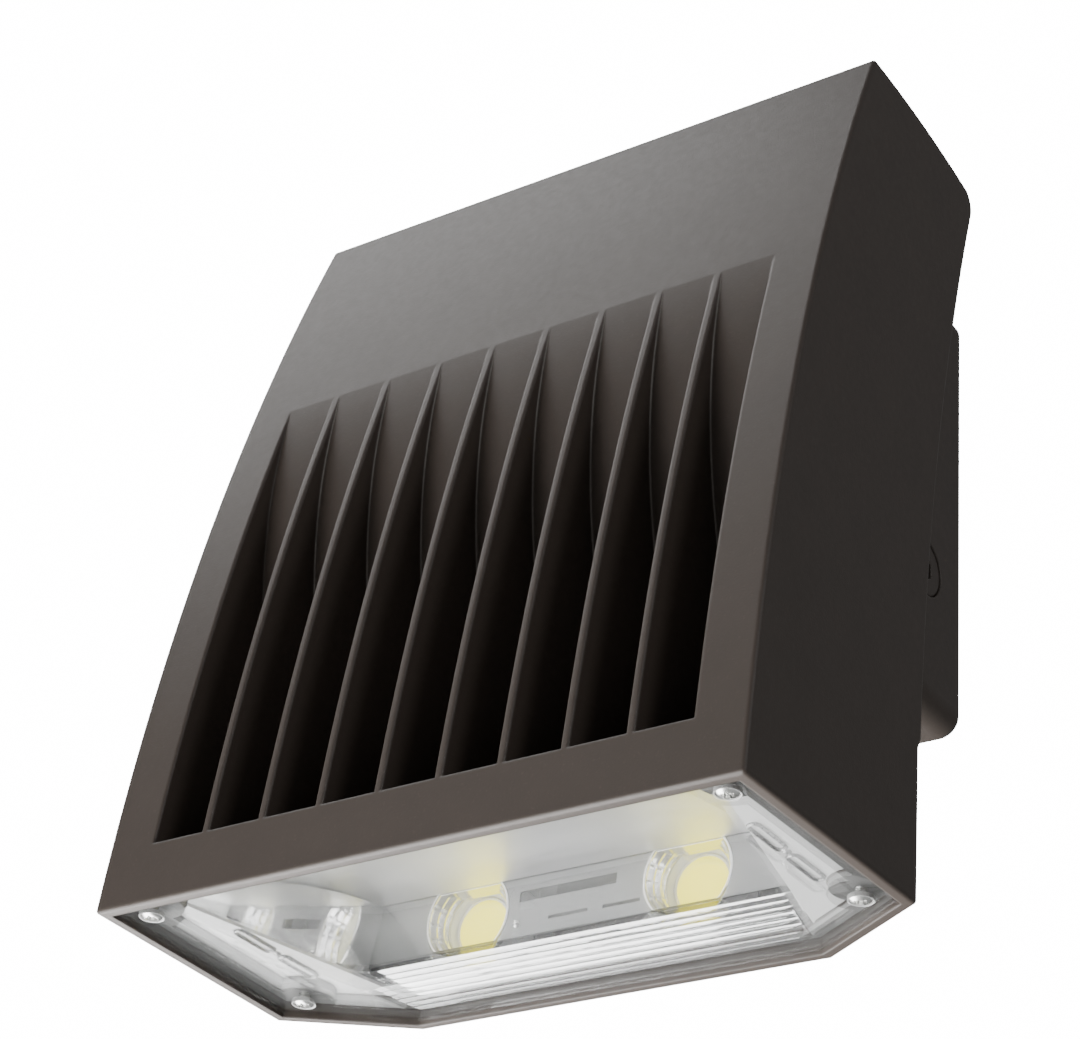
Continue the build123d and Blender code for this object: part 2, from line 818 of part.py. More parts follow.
def make_main_reflector():
    """The bent ceiling and the LED wall, one bright sheet with a cup at each LED."""
    back = holder_front - cup_gap
    cup_depth = back - ceiling_back
    ceiling = side_face(
        ceiling_curve(),
        Polyline(
            (ceiling_back, ceiling_high), (back, ceiling_high), (back, ceiling_high + sheet),
            (ceiling_back, ceiling_high + sheet),
        ),
        ceiling_curve(-sheet),
        Line((ceiling_front, ceiling_low), (ceiling_front, ceiling_low + sheet)),
    )
    half = ceiling_half_width
    reflector = extrude(ceiling, amount=half, both=True)
    top = ceiling_high + sheet
    wall = block(-half, half, ceiling_back, ceiling_back + sheet, led_wall_low, top)
    for x in led_places():
        centre = Pos(x, ceiling_back + cup_depth / 2, led_height) * Rot(-90, 0, 0)
        cup = centre * Cone(cup_mouth + sheet, cup_throat + sheet, cup_depth)
        hollow = centre * Cone(cup_mouth, cup_throat, cup_depth)
        wall = wall + cup - hollow
    for x0, x1, z0, z1 in led_wall_slots:
        wall -= block(x0, x1, ceiling_back - 1, ceiling_back + sheet + 1, z0, z1)
    return reflector + (wall & block(-half, half, ceiling_front, back + 1, led_wall_low, top))


def make_fluted_reflector():
    """The ridged strip between the LED wall and the rear edge of the lens."""
    front = ceiling_back + sheet_gap
    run = (flute_back - front) / flute_count
    fall = (flute_high - flute_low) / flute_count
    edges = []
    for number in range(flute_count):
        y0 = front + number * run
        z0 = flute_high - number * fall
        middle = (y0 + run / 2, z0 - fall / 2 - flute_depth)
        edges.append(ThreePointArc((y0, z0), middle, (y0 + run, z0 - fall)))
    edges.append(
        Polyline(
            (flute_back, flute_low), (flute_back, flute_low + sheet),
            (front, flute_high + sheet), (front, flute_high),
        )
    )
    strip = extrude(side_face(*edges), amount=end_wall_start, both=True)
    for hand in (1, -1):
        strip = split(strip, bisect_by=end_wall_plane(hand, -sheet_gap), keep=Keep.BOTTOM)
    return strip & extrude(window_inside(sheet_gap), amount=chamber_top)


def make_end_reflector(hand):
    """One end of the reflector: a leaning bright wall and a flat panel over the lens."""
    inside = end_wall_plane(hand)
    outside = end_wall_plane(hand, sheet)
    start = ceiling_front + end_wall_inset
    region = side_face(
        Polyline(
            (start, panel_height),
            (flute_back - end_wall_inset, panel_height),
            (ceiling_back - sheet_gap, flute_high + 2 * sheet_gap),
            (ceiling_back - sheet_gap, ceiling_high - sheet_gap),
        ),
        ceiling_end_curve(),
        Line((start, panel_height), (start, ceiling_low + end_wall_front)),
    )
    wall = extrude(region, amount=door_width, both=True)
    wall = split(wall, bisect_by=outside, keep=Keep.BOTTOM)
    wall = split(wall, bisect_by=inside, keep=Keep.TOP)
    panel = extrude(Pos(0, 0, panel_height) * window_inside(panel_gap), amount=sheet)
    panel = split(panel, bisect_by=inside, keep=Keep.TOP)
    end = wall + panel
    for x, y in lens_screw_places:
        end -= post(hand * x, y, 0, chamber_top, lobe_radius + panel_gap)
    return end


def ceiling_end_curve():
    """The upper edge of an end wall, just under the bent ceiling."""
    start = (ceiling_back - sheet_gap, ceiling_high - sheet_gap)
    end = (ceiling_front + end_wall_inset, ceiling_low + end_wall_front)
    middle_y = (start[0] + end[0]) / 2
    middle_z = (start[1] + end[1]) / 2 + ceiling_bow - sheet_gap
    return ThreePointArc(start, (middle_y, middle_z), end)


def make_cob_boards():
    """Two LED boards, each with the low ring that holds its phosphor."""
    boards = []
    half = board_size / 2
    low = led_height - half
    high = led_height + half
    for x in led_places():
        board = block(x - half, x + half, board_front, pad_front, low, high)
        ring = rod(x, led_height, led_face_depth, board_front, led_radius + led_dam)
        ring -= rod(x, led_height, led_face_depth - 1, board_front, led_radius)
        boards.append(board + ring)
    return Compound(children=boards)


def make_cob_phosphor():
    """The round yellow light-emitting faces of the two LEDs."""
    front = led_face_depth + phosphor_sink
    discs = [rod(x, led_height, front, board_front, led_radius) for x in led_places()]
    return Compound(children=discs)


def make_thermal_pads():
    """The thin pads that carry heat from the boards to the casting."""
    half = board_size / 2
    low = led_height - half
    high = led_height + half
    pads = [
        block(x - half, x + half, pad_front, mount_pad_front, low, high) for x in led_places()
    ]
    return Compound(children=pads)


def make_cob_holders():
    """The moulded frames that press the LED boards down."""
    half = holder_width / 2
    pocket = board_size / 2 + holder_room
    opening = led_radius + led_dam + holder_room
    depth = board_front - holder_front
    low = led_height - holder_height / 2
    high = led_height + holder_height / 2
    frame = block(-half, half, holder_front, mount_pad_front, low, high)
    frame = chamfer(frame.edges().filter_by(Axis.Y), holder_corner)
    frame -= block(
        -pocket, pocket, board_front, mount_pad_front + 1, led_height - pocket, led_height + pocket
    )
    funnel = Cone(opening + holder_funnel, opening, depth)
    frame -= Pos(0, holder_front + depth / 2, led_height) * Rot(-90, 0, 0) * funnel
    seat = holder_front + small_screw_head
    for x in (-holder_screw_offset, holder_screw_offset):
        shank_hole = small_screw_radius + holder_room
        frame -= rod(x, led_height, holder_front - 1, mount_pad_front + 1, shank_hole)
        frame -= rod(x, led_height, holder_front - 1, seat, small_screw_head_radius + holder_room)
    return Compound(children=[Pos(x, 0, 0) * frame for x in led_places()])


def make_holder_screws():
    """Two small screws through each LED holder."""
    screw = machine_screw(
        small_screw_length, small_screw_radius, small_screw_head, small_screw_head_radius
    )
    seat = holder_front + small_screw_head
    return Compound(children=[along_y(screw, x, seat, led_height) for x in holder_screw_places()])


def make_tray():
    """The steel tray that carries the driver, surge protector and terminals."""
    half = tray_half_width
    tray = block(-half, half, tray_depth, tray_back, tray_low, tray_high)
    tray = chamfer(tray.edges().filter_by(Axis.Y), tray_corner)
    for x, z in tray_screw_places():
        tray -= rod(x, z, tray_depth - 1, tray_back + 1, tray_screw_radius + hole_clearance)
    for x, z in module_screw_places():
        tray -= rod(x, z, tray_depth - 1, tray_back + 1, small_screw_radius + thread_clearance)
    return tray


def make_tray_screws():
    """Four screws that fix the tray to its bosses."""
    screw = hex_screw(tray_screw_length, tray_screw_radius, tray_screw_head, tray_head_radius)
    return Compound(children=[against_y(screw, x, tray_back, z) for x, z in tray_screw_places()])


def module_screw_places():
    """Across and height of the screws that hold the driver and the surge protector."""
    driver_middle = driver_low + driver_height / 2
    driver_reach = (driver_width + driver_flange) / 2
    surge_middle = surge_low + surge_height / 2
    surge_reach = (surge_width + surge_flange) / 2
    return [
        (-driver_reach, driver_middle),
        (driver_reach, driver_middle),
        (surge_across - surge_reach, surge_middle),
        (surge_across + surge_reach, surge_middle),
    ]


def flanged_case(across, low, width, height, thick, flange, places):
    """A potted case with a mounting flange at each end."""
    half = width / 2
    case = block(across - half, across + half, tray_back, tray_back + thick, low, low + height)
    case = fillet(case.edges().filter_by(Axis.Y), case_corner)
    case = chamfer(case.faces().sort_by(Axis.Y)[-1].edges(), case_chamfer)
    quarter = height / 4
    flange_back = tray_back + flange_thickness
    case += block(
        across - half - flange, across + half + flange, tray_back, flange_back,
        low + quarter, low + height - quarter,
    )
    for x, z in places:
        case -= rod(x, z, tray_back - 1, flange_back + 1, small_screw_radius + hole_clearance)
    return case


def make_module_screws():
    """Screws through the flanges of the driver and the surge protector."""
    screw = hex_screw(
        module_screw_length, small_screw_radius, small_screw_head, small_screw_head_radius
    )
    top = tray_back + flange_thickness
    return Compound(children=[against_y(screw, x, top, z) for x, z in module_screw_places()])


def make_terminal_block():
    """A push-in terminal block with one round wire port for each way at both ends."""
    half = terminal_ways * terminal_pitch / 2
    back = tray_back + terminal_thick
    top = terminal_low + terminal_height
    middle = tray_back + terminal_thick / 2
    shape = block(terminal_across - half, terminal_across + half, tray_back, back, terminal_low, top)
    shape = chamfer(shape.faces().sort_by(Axis.Y)[-1].edges(), case_chamfer)
    for x in terminal_places():
        shape -= post(x, middle, top - port_depth, top + 1, port_radius)
    return shape


def terminal_places():
    """Across places of the terminal block's ways."""
    first = terminal_across - (terminal_ways - 1) / 2 * terminal_pitch
    return [first + number * terminal_pitch for number in range(terminal_ways)]


def make_supply_leads():
    """Short stiff leads from the driver's top to the terminals and the surge protector."""
    depth = tray_back + terminal_thick / 2
    leads = [post(x, depth, driver_high, terminal_low, lead_radius) for x in terminal_places()]
    for number in (-1, 0, 1):
        x = surge_across + number * surge_lead_pitch
        leads.append(post(x, depth, driver_high, surge_low, lead_radius))
    return Compound(children=leads)


def make_led_leads():
    """The two sheathed leads from the driver, through the grommet, to the LED holders."""
    holder_top = led_height + holder_height / 2
    at_holder = (holder_front + board_front) / 2
    over = chamber_top - lead_drop
    down = grommet_place()
    leads = []
    for hand in (-1, 1):
        near = hand * (lead_radius + lead_gap / 2)
        far = hand * led_spacing / 2
        path = FilletPolyline(
            (near, down, driver_low),
            (near, down, over),
            (far, at_holder, over),
            (far, at_holder, holder_top),
            radius=lead_bend,
        )
        section = Plane(origin=path @ 0, z_dir=path % 0) * Circle(lead_radius)
        leads.append(sweep(section, path=path))
    return Compound(children=leads)


def make_grommet():
    """The rubber grommet that seals the LED leads where they leave the chamber."""
    low = chamber_top - grommet_lip
    high = tray_floor + grommet_lip
    neck = grommet_hole_radius - thread_clearance
    wide = grommet_hole_radius + grommet_flange
    ring = post(0, 0, low, high, neck)
    ring += post(0, 0, low, chamber_top, wide)
    ring += post(0, 0, tray_floor, high, wide)
    ring -= post(0, 0, low - 1, high + 1, grommet_bore_radius)
    return Pos(0, grommet_place(), 0) * ring


def make_vent():
    """The breather that lets the optical chamber equalise without letting water in."""
    start = chamber_depth - window_rear
    vent = rod(0, vent_height, start, chamber_depth, vent_thread_radius)
    cap = rod(0, vent_height, chamber_depth, chamber_depth + vent_cap, vent_cap_radius)
    cap = chamfer(cap.faces().sort_by(Axis.Y)[-1].edges(), vent_chamfer)
    return vent + cap - rod(0, vent_height, start - 1, chamber_depth, vent_bore_radius)


def make_door_gasket():
    """The one-piece silicone seal in the groove of the door's neck."""
    margin = neck_margin - groove_lip - groove_room
    width = groove_width - 2 * groove_room
    return square_ring(margin, width, parting_depth - groove_depth, parting_depth)


def make_wall_gasket():
    """The flat foam seal between the back box and the wall, cut out like the box."""
    gasket = square_plate(-wall_gasket_inset, box_back, wall_depth)
    return gasket - wall_openings(box_back - 1, wall_depth + 1)


def make_conduit_plugs():
    """Threaded plugs that close the conduit entries left, right and below."""
    plug = Cylinder(plug_radius, plug_length)
    plug = chamfer(plug.faces().sort_by(Axis.Z)[-1].edges(), plug_chamfer)
    socket = Pos(0, 0, plug_length / 2) * RegularPolygon(plug_socket, 6)
    plug -= extrude(socket, amount=-plug_socket_depth)
    middle = plug_inset + plug_length / 2
    across = box_width / 2 - middle
    plugs = [
        Pos(across, hub_depth, hub_height) * Rot(0, 90, 0) * plug,
        Pos(-across, hub_depth, hub_height) * Rot(0, -90, 0) * plug,
        Pos(0, hub_depth, box_bottom + middle) * Rot(180, 0, 0) * plug,
    ]
    return Compound(children=plugs)


def make_ground_screw():
    """The green ground screw in the back box."""
    screw = hex_screw(ground_screw_length, tray_screw_radius, tray_screw_head, tray_head_radius)
    return along_y(screw, ground_across, box_inside_back - ground_boss, box_middle + ground_up)


def make_hinge_pins():
    """Two headed pins through the knuckles along the top of the back box."""
    half = door_knuckle / 2 + knuckle_gap + box_knuckle
    pin = bar(-half, half, hinge_depth, hinge_height, pin_radius)
    pin += bar(half, half + pin_head, hinge_depth, hinge_height, pin_head_radius)
    right = Pos(hinge_spacing / 2, 0, 0) * pin
    return Compound(children=[right, mirror(right, about=Plane.YZ)])


def make_closure_screw(hand):
    """One captive closure screw, pointing up through its tab, ear and nut."""
    reach = box_bottom - closure_tip_gap - tab_low
    screw = socket_screw(reach, closure_screw_radius, closure_head, closure_head_radius)
    return Pos(hand * closure_spacing / 2, closure_depth, tab_low) * screw


def make_closure_nuts():
    """The square nuts that the closure screws draw down onto the ears."""
    low = box_bottom - nut_channel + nut_gap
    high = low + nut_thickness
    half = nut_width / 2
    bore = closure_screw_radius + thread_clearance
    nut = block(-half, half, closure_depth - half, closure_depth + half, low, high)
    nut -= post(0, closure_depth, low - 1, high + 1, bore)
    return Compound(children=[Pos(x, 0, 0) * nut for x in closure_places()])


screw_places = module_screw_places()
pieces = {
    "housing": make_housing(),
    "lens": make_lens(),
    "lens_gasket": make_lens_gasket(),
    "lens_screws": make_lens_screws(),
    "main_reflector": make_main_reflector(),
    "fluted_reflector": make_fluted_reflector(),
    "end_reflector_left": make_end_reflector(-1),
    "end_reflector_right": make_end_reflector(1),
    "cob_boards": make_cob_boards(),
    "cob_phosphor": make_cob_phosphor(),
    "thermal_pads": make_thermal_pads(),
    "cob_holders": make_cob_holders(),
    "holder_screws": make_holder_screws(),
    "driver_tray": make_tray(),
    "tray_screws": make_tray_screws(),
    "driver": flanged_case(
        0, driver_low, driver_width, driver_height, driver_thick, driver_flange, screw_places[:2]
    ),
    "surge_protector": flanged_case(
        surge_across, surge_low, surge_width, surge_height, surge_thick, surge_flange,
        screw_places[2:],
    ),
    "module_screws": make_module_screws(),
    "terminal_block": make_terminal_block(),
    "supply_leads": make_supply_leads(),
    "led_leads": make_led_leads(),
    "wire_grommet": make_grommet(),
    "breather_vent": make_vent(),
    "door_gasket": make_door_gasket(),
    "closure_screw_left": make_closure_screw(-1),
    "closure_screw_right": make_closure_screw(1),
    "closure_nuts": make_closure_nuts(),
    "back_box": make_back_box(),
    "hinge_pins": make_hinge_pins(),
    "conduit_plugs": make_conduit_plugs(),
    "ground_screw": make_ground_screw(),
    "wall_gasket": make_wall_gasket(),
}

for name, shape in pieces.items():
    export_step(to_wall_frame * shape, f"parts/{name}.step")
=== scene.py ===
"""Wall pack light, dressed: powder-coated castings, clear lens, bright reflector and LEDs.

Lengths are in metres. The frame is the wall frame of the castings: X runs across the light, Y
runs into the wall and Z up it, with the origin in the middle of the back box, on the wall.
"""
import math

import bmesh
import bpy
import numpy as np
from mathutils import Matrix, Vector


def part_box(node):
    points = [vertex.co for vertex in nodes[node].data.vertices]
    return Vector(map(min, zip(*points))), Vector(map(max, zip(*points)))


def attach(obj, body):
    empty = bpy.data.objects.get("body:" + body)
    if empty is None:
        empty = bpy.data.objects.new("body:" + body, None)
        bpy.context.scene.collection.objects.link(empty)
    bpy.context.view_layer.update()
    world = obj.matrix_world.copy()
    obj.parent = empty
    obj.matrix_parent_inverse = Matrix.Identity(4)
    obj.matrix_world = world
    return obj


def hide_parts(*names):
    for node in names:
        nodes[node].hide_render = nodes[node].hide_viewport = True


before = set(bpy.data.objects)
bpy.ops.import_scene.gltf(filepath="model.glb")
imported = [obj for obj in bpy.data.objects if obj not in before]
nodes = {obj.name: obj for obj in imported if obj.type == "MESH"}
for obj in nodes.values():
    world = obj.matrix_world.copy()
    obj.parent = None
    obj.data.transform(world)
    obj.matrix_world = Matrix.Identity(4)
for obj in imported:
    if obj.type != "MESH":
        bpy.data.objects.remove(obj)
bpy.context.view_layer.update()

# Camera. It stands low in front and to the right of the light and looks up at it with a long
# lens, so that the lens and the right side both show.
eye = Vector((0.455, -0.7405, -0.5145))
look = Vector((-0.510, 0.684, 0.522)).normalized()
overhead = Vector((0.235, -0.473, 0.849))
across = look.cross(overhead).normalized()
upward = across.cross(look)
film_width = 36.0             # millimetres
focal_share = 2780 / 1080     # focal length over the width of the film
camera_data = bpy.data.cameras.new("camera")
camera_data.sensor_fit = "HORIZONTAL"
camera_data.sensor_width = film_width
camera_data.lens = film_width * focal_share
camera_data.clip_start = 0.05
camera_data.clip_end = 50
camera = bpy.data.objects.new("camera", camera_data)
turn = Matrix((across, upward, -look)).transposed().to_4x4()
camera.matrix_world = Matrix.Translation(eye) @ turn
bpy.context.scene.collection.objects.link(camera)
bpy.context.scene.camera = camera


# Floor and light. A pale floor lies well below the light, in a white studio. Soft panels hang
# above at the left, in front at the left, close under the lens to fill the reflector, behind,
# and at the right. Floor and studio look brighter to the camera than the light they cast.
def shader_node(tree, kind, inputs=(), **settings):
    """Adds one node, sets its options, and sets or links its inputs by name or number."""
    made = tree.nodes.new("ShaderNode" + kind)
    for name, value in settings.items():
        setattr(made, name, value)
    for name, value in dict(inputs).items():
        if isinstance(value, bpy.types.NodeSocket):
            tree.links.new(value, made.inputs[name])
        else:
            made.inputs[name].default_value = value
    return made


def new_finish(name, **fixed):
    """A material with its node tree, its shader, and the fixed values of the shader's sockets."""
    made = bpy.data.materials.new(name)
    made.use_nodes = True
    shader = made.node_tree.nodes["Principled BSDF"]
    for socket, value in fixed.items():
        shader.inputs[socket.replace("_", " ")].default_value = value
    return made, made.node_tree, shader


floor_height = -1.4
floor_reach = 40.0
floor_glow = 3.0              # added for the camera alone
corners = [(-1, -1), (1, -1), (1, 1), (-1, 1)]
floor_mesh = bpy.data.meshes.new("floor")
floor_mesh.from_pydata(
    [(x * floor_reach, y * floor_reach, floor_height) for x, y in corners], [], [(0, 1, 2, 3)]
)
pale, tree, shader = new_finish("pale_floor", Base_Color=(0.82, 0.82, 0.81, 1), Roughness=0.7)
shader.inputs["Emission Color"].default_value = (0.98, 0.98, 0.97, 1)
to_camera = shader_node(tree, "LightPath").outputs["Is Camera Ray"]
glow = shader_node(tree, "Math", {0: to_camera, 1: floor_glow}, operation="MULTIPLY").outputs[0]
tree.links.new(glow, shader.inputs["Emission Strength"])
floor_mesh.materials.append(pale)
floor = bpy.data.objects.new("floor", floor_mesh)
bpy.context.scene.collection.objects.link(floor)


def soft_panel(name, place, target, width, height, power):
    """A rectangular soft light that stands at a place and faces a target."""
    data = bpy.data.lights.new(name, "AREA")
    data.shape = "RECTANGLE"
    data.size = width
    data.size_y = height
    data.energy = power
    panel = bpy.data.objects.new(name, data)
    facing = Vector(target) - Vector(place)
    turn = facing.to_track_quat("-Z", "Y").to_matrix().to_4x4()
    panel.matrix_world = Matrix.Translation(place) @ turn
    bpy.context.scene.collection.objects.link(panel)


middle = (0, -0.08, 0)
lens_middle = (0, -0.13, -0.18)
# name, place, target, width, height and power
soft_panel("panel_above", (-1.35, -0.35, 1.9), middle, 1.5, 1.3, 19)
soft_panel("panel_left", (-1.35, -2.0, 0.15), middle, 1.2, 0.5, 3.5)
soft_panel("panel_below", (-0.45, -0.28, -0.80), lens_middle, 2.0, 0.5, 40)
soft_panel("panel_behind", (-1.3, 1.7, 1.3), middle, 1.2, 1.2, 14)
soft_panel("panel_right", (1.7, -0.7, 0.5), middle, 0.5, 0.9, 6)

studio_seen = 16
studio_cast = 0.18
world = bpy.data.worlds.new("studio")
world.use_nodes = True
bpy.context.scene.world = world
tree = world.node_tree
seen = shader_node(tree, "Background", {"Color": (1, 1, 1, 1), "Strength": studio_seen})
cast = tree.nodes["Background"]
cast.inputs["Color"].default_value = (0.96, 0.98, 1.0, 1)
cast.inputs["Strength"].default_value = studio_cast
path = shader_node(tree, "LightPath")
mix = shader_node(
    tree, "MixShader", {0: path.outputs["Is Camera Ray"], 1: cast.outputs[0], 2: seen.outputs[0]}
)
tree.links.new(mix.outputs[0], tree.nodes["World Output"].inputs["Surface"])


# Back box. A die-cast aluminium box with a fine textured powder coat in dark bronze, as on the
# door:
# a slight orange peel, and edges a little lighter: partly the coat drawn thin, partly painted
# highlight.
def object_place(tree, stretch=(1, 1, 1)):
    """Object coordinates, stretched along the axes."""
    place = shader_node(tree, "TexCoord").outputs["Object"]
    return shader_node(tree, "Mapping", {"Vector": place, "Scale": stretch}).outputs["Vector"]


def noise(tree, place, scale, detail=3):
    """A noise pattern with so many waves to the metre, from 0 to 1."""
    made = shader_node(tree, "TexNoise", {"Vector": place, "Scale": scale, "Detail": detail})
    return made.outputs["Fac"]


def spread(tree, value, low, high, near=0.3, far=0.7):
    """A pattern's middle range, spread from a low to a high value."""
    inputs = {"Value": value, "From Min": near, "From Max": far, "To Min": low, "To Max": high}
    return shader_node(tree, "MapRange", inputs).outputs["Result"]


def blended(tree, share, first, second):
    """A colour between two, by a share from 0 to 1."""
    inputs = {0: share, 6: first, 7: second}
    return shader_node(tree, "Mix", inputs, data_type="RGBA").outputs[2]


def tone(color, factor=1.0):
    """A colour made lighter or darker, with its alpha."""
    return (*[min(part * factor, 1.0) for part in color], 1)


def edge_share(tree, radius, strongest, near=0.98, far=0.84):
    """How near a sharp edge a point lies, from the turn of its normal, and that normal."""
    rounded = shader_node(tree, "Bevel", {"Radius": radius}, samples=6).outputs["Normal"]
    flat = shader_node(tree, "NewGeometry").outputs["Normal"]
    turned = shader_node(tree, "VectorMath", {0: rounded, 1: flat}, operation="DOT_PRODUCT")
    return spread(tree, turned.outputs["Value"], 0, strongest, near, far), rounded


def powder_coat(name, color, worn_and_highlit, patch, peel_scale, gloss=(0.41, 0.46), rubbed=None):
    """Powder coat: faintly mottled colour, orange-peel bump, uneven gloss, and lighter edges,
    partly worn coat and partly a painted highlight.

    A rubbed colour, which is a painted highlight, is given to the edges inside a zone: its half
    width, its foot and its top.
    """
    worn_and_highlit_radius, worn_and_highlit_share = 0.0012, 0.6
    speck_share, speck_tone = 0.3, 1.6
    fade = 0.003              # over which the zone of painted highlight on the fins ends
    peel_depth = 0.00006
    made, tree, shader = new_finish(name)
    place = object_place(tree)
    mottle = noise(tree, place, patch, detail=5)
    peel = noise(tree, place, peel_scale, detail=2)
    # Edges are lighter: partly the coat worn thin, partly a painted highlight along them.
    edge, rounded = edge_share(tree, worn_and_highlit_radius, worn_and_highlit_share)
    body = blended(tree, mottle, tone(color, 0.9), tone(color, 1.1))
    specks = noise(tree, place, peel_scale * 0.7, detail=2)
    specks = spread(tree, specks, 0, speck_share, near=0.62, far=0.75)
    body = blended(tree, specks, body, tone(color, speck_tone))
    edge_tone = tone(worn_and_highlit)
    # The rubbed zone paints a pale highlight on the edges inside it: the fins' front edges.
    if rubbed:
        painted_highlight_color, half, foot, top = rubbed
        parts = shader_node(tree, "SeparateXYZ", {0: place}).outputs
        off_middle = shader_node(tree, "Math", {0: parts["X"]}, operation="ABSOLUTE").outputs[0]
        zone = spread(tree, off_middle, 1, 0, half, half + fade)
        for limit, inward in ((foot, fade), (top, -fade)):
            inside = spread(tree, parts["Z"], 0, 1, limit, limit + inward)
            zone = shader_node(tree, "Math", {0: zone, 1: inside}, operation="MULTIPLY").outputs[0]
        edge_tone = blended(tree, zone, tone(worn_and_highlit), tone(painted_highlight_color))
    tree.links.new(blended(tree, edge, body, edge_tone), shader.inputs["Base Color"])
    fine = noise(tree, place, peel_scale * 0.25, detail=3)
    tree.links.new(spread(tree, fine, *gloss), shader.inputs["Roughness"])
    bump = shader_node(
        tree, "Bump", {"Height": peel, "Distance": peel_depth, "Strength": 0.6, "Normal": rounded}
    )
    tree.links.new(bump.outputs["Normal"], shader.inputs["Normal"])
    return made


def finish_node(name, material):
    """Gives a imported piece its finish."""
    mesh = nodes[name].data
    mesh.materials.clear()
    mesh.materials.append(material)


bronze_color = (0.058, 0.045, 0.037)
bronze_worn_and_highlit = (0.125, 0.108, 0.097)
bronze_grain = {"patch": 60, "peel_scale": 1500}
bronze = powder_coat("bronze_powder_coat", bronze_color, bronze_worn_and_highlit, **bronze_grain)
finish_node("back_box", bronze)


# Conduit plugs. Three turned aluminium plugs with a hex socket close the threaded entries. They
# are screwed in before coating, so they carry the same bronze coat as the box.
def merged_copy(name, material, body="door"):
    """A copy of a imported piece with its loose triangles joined, which then stands for it."""
    mesh = nodes[name].data.copy()
    mesh.name = name + "_finished"
    shape = bmesh.new()
    shape.from_mesh(mesh)
    bmesh.ops.remove_doubles(shape, verts=shape.verts, dist=1e-6)
    bmesh.ops.dissolve_limit(
        shape, angle_limit=math.radians(0.5), verts=shape.verts, edges=shape.edges
    )
    shape.to_mesh(mesh)
    shape.free()
    mesh.materials.clear()
    mesh.materials.append(material)
    piece = bpy.data.objects.new(mesh.name, mesh)
    bpy.context.scene.collection.objects.link(piece)
    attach(piece, body)
    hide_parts(name)
    return piece


def broken_edges(piece, width, segments=2):
    """Takes the sharpness off a piece's edges."""
    bevel = piece.modifiers.new("broken_edges", "BEVEL")
    bevel.width = width
    bevel.segments = segments
    bevel.limit_method = "ANGLE"
    bevel.angle_limit = math.radians(40)
    bevel.use_clamp_overlap = True


plugs = merged_copy("conduit_plugs", bronze, "wall_box")
broken_edges(plugs, width=0.0003)


# Wall gasket. A sheet of black closed-cell foam, die-cut to the box and stuck to its back. It
# squeezes against the wall and shows as a thin dark line round the box.
def rubber(name, color, roughness, grain, relief):
    """Rubber or foam: dull, with a fine grain and a faint bloom."""
    made, tree, shader = new_finish(name, IOR=1.45)
    place = object_place(tree)
    bloom = noise(tree, place, scale=60, detail=4)
    body = blended(tree, bloom, tone(color, 0.82), tone(color, 1.25))
    tree.links.new(body, shader.inputs["Base Color"])
    dull = spread(tree, bloom, roughness - 0.06, roughness + 0.06)
    tree.links.new(dull, shader.inputs["Roughness"])
    pores = noise(tree, place, grain, detail=2)
    bump = shader_node(tree, "Bump", {"Height": pores, "Distance": relief, "Strength": 0.7})
    tree.links.new(bump.outputs["Normal"], shader.inputs["Normal"])
    return made


black_foam = rubber(
    "black_foam", (0.030, 0.030, 0.031), roughness=0.85, grain=900, relief=0.00025
)
finish_node("wall_gasket", black_foam)


# Ground screw. A green dyed hex-head screw in a boss of the back box: a washer face under the
# head, a chamfered hexagon, and a rolled thread.
def grid_mesh(name, points, closed=False):
    """Quads over a grid of points, its second direction closed or open, poles merged."""
    rows, columns = points.shape[:2]
    index = np.arange(rows * columns).reshape(rows, columns)
    if closed:
        index = np.concatenate([index, index[:, :1]], axis=1)
    quads = np.stack([index[:-1, :-1], index[:-1, 1:], index[1:, 1:], index[1:, :-1]], axis=-1)
    mesh = bpy.data.meshes.new(name)
    mesh.from_pydata(points.reshape(-1, 3).tolist(), [], quads.reshape(-1, 4).tolist())
    shape = bmesh.new()
    shape.from_mesh(mesh)
    bmesh.ops.remove_doubles(shape, verts=shape.verts, dist=1e-7)
    bmesh.ops.dissolve_degenerate(shape, edges=shape.edges, dist=1e-8)
    bmesh.ops.recalc_face_normals(shape, faces=shape.faces)
    shape.to_mesh(mesh)
    shape.free()
    return mesh


def joined(name, meshes, material, body="door", smooth=35):
    """One piece from several meshes, riding on a body, smooth but for edges over an angle."""
    shape = bmesh.new()
    for mesh in meshes:
        shape.from_mesh(mesh)
    for face in shape.faces:
        face.smooth = True
    for edge in shape.edges:
        if len(edge.link_faces) == 2:
            edge.smooth = edge.calc_face_angle() < math.radians(smooth)
    whole = bpy.data.meshes.new(name)
    shape.to_mesh(whole)
    shape.free()
    whole.materials.append(material)
    piece = bpy.data.objects.new(name, whole)
    bpy.context.scene.collection.objects.link(piece)
    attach(piece, body)
    return piece


def set_along(local, centre, axis):
    """Points drawn round +Z, turned so that +Z lies along an axis, and set at a centre."""
    axis = Vector(axis).normalized()
    side = axis.orthogonal().normalized()
    return local @ np.array([side, axis.cross(side), axis]) + np.array(centre)


def round_grid(radius, height, steps):
    """Points (r cos a, r sin a, h) for radii and heights given by row, or by row and angle."""
    angle = np.linspace(0, 2 * math.pi, steps, endpoint=False)
    radius, height = (
        np.broadcast_to(np.asarray(rows, float).reshape(len(rows), -1), (len(rows), steps))
        for rows in (radius, height)
    )
    return np.stack([radius * np.cos(angle), radius * np.sin(angle), height], axis=-1)


def turned_points(profile, centre, axis, steps):
    """A lathe shape: a profile of (radius, height) pairs carried round an axis."""
    radius, height = np.array(profile, float).T
    return set_along(round_grid(radius, height, steps), centre, axis)


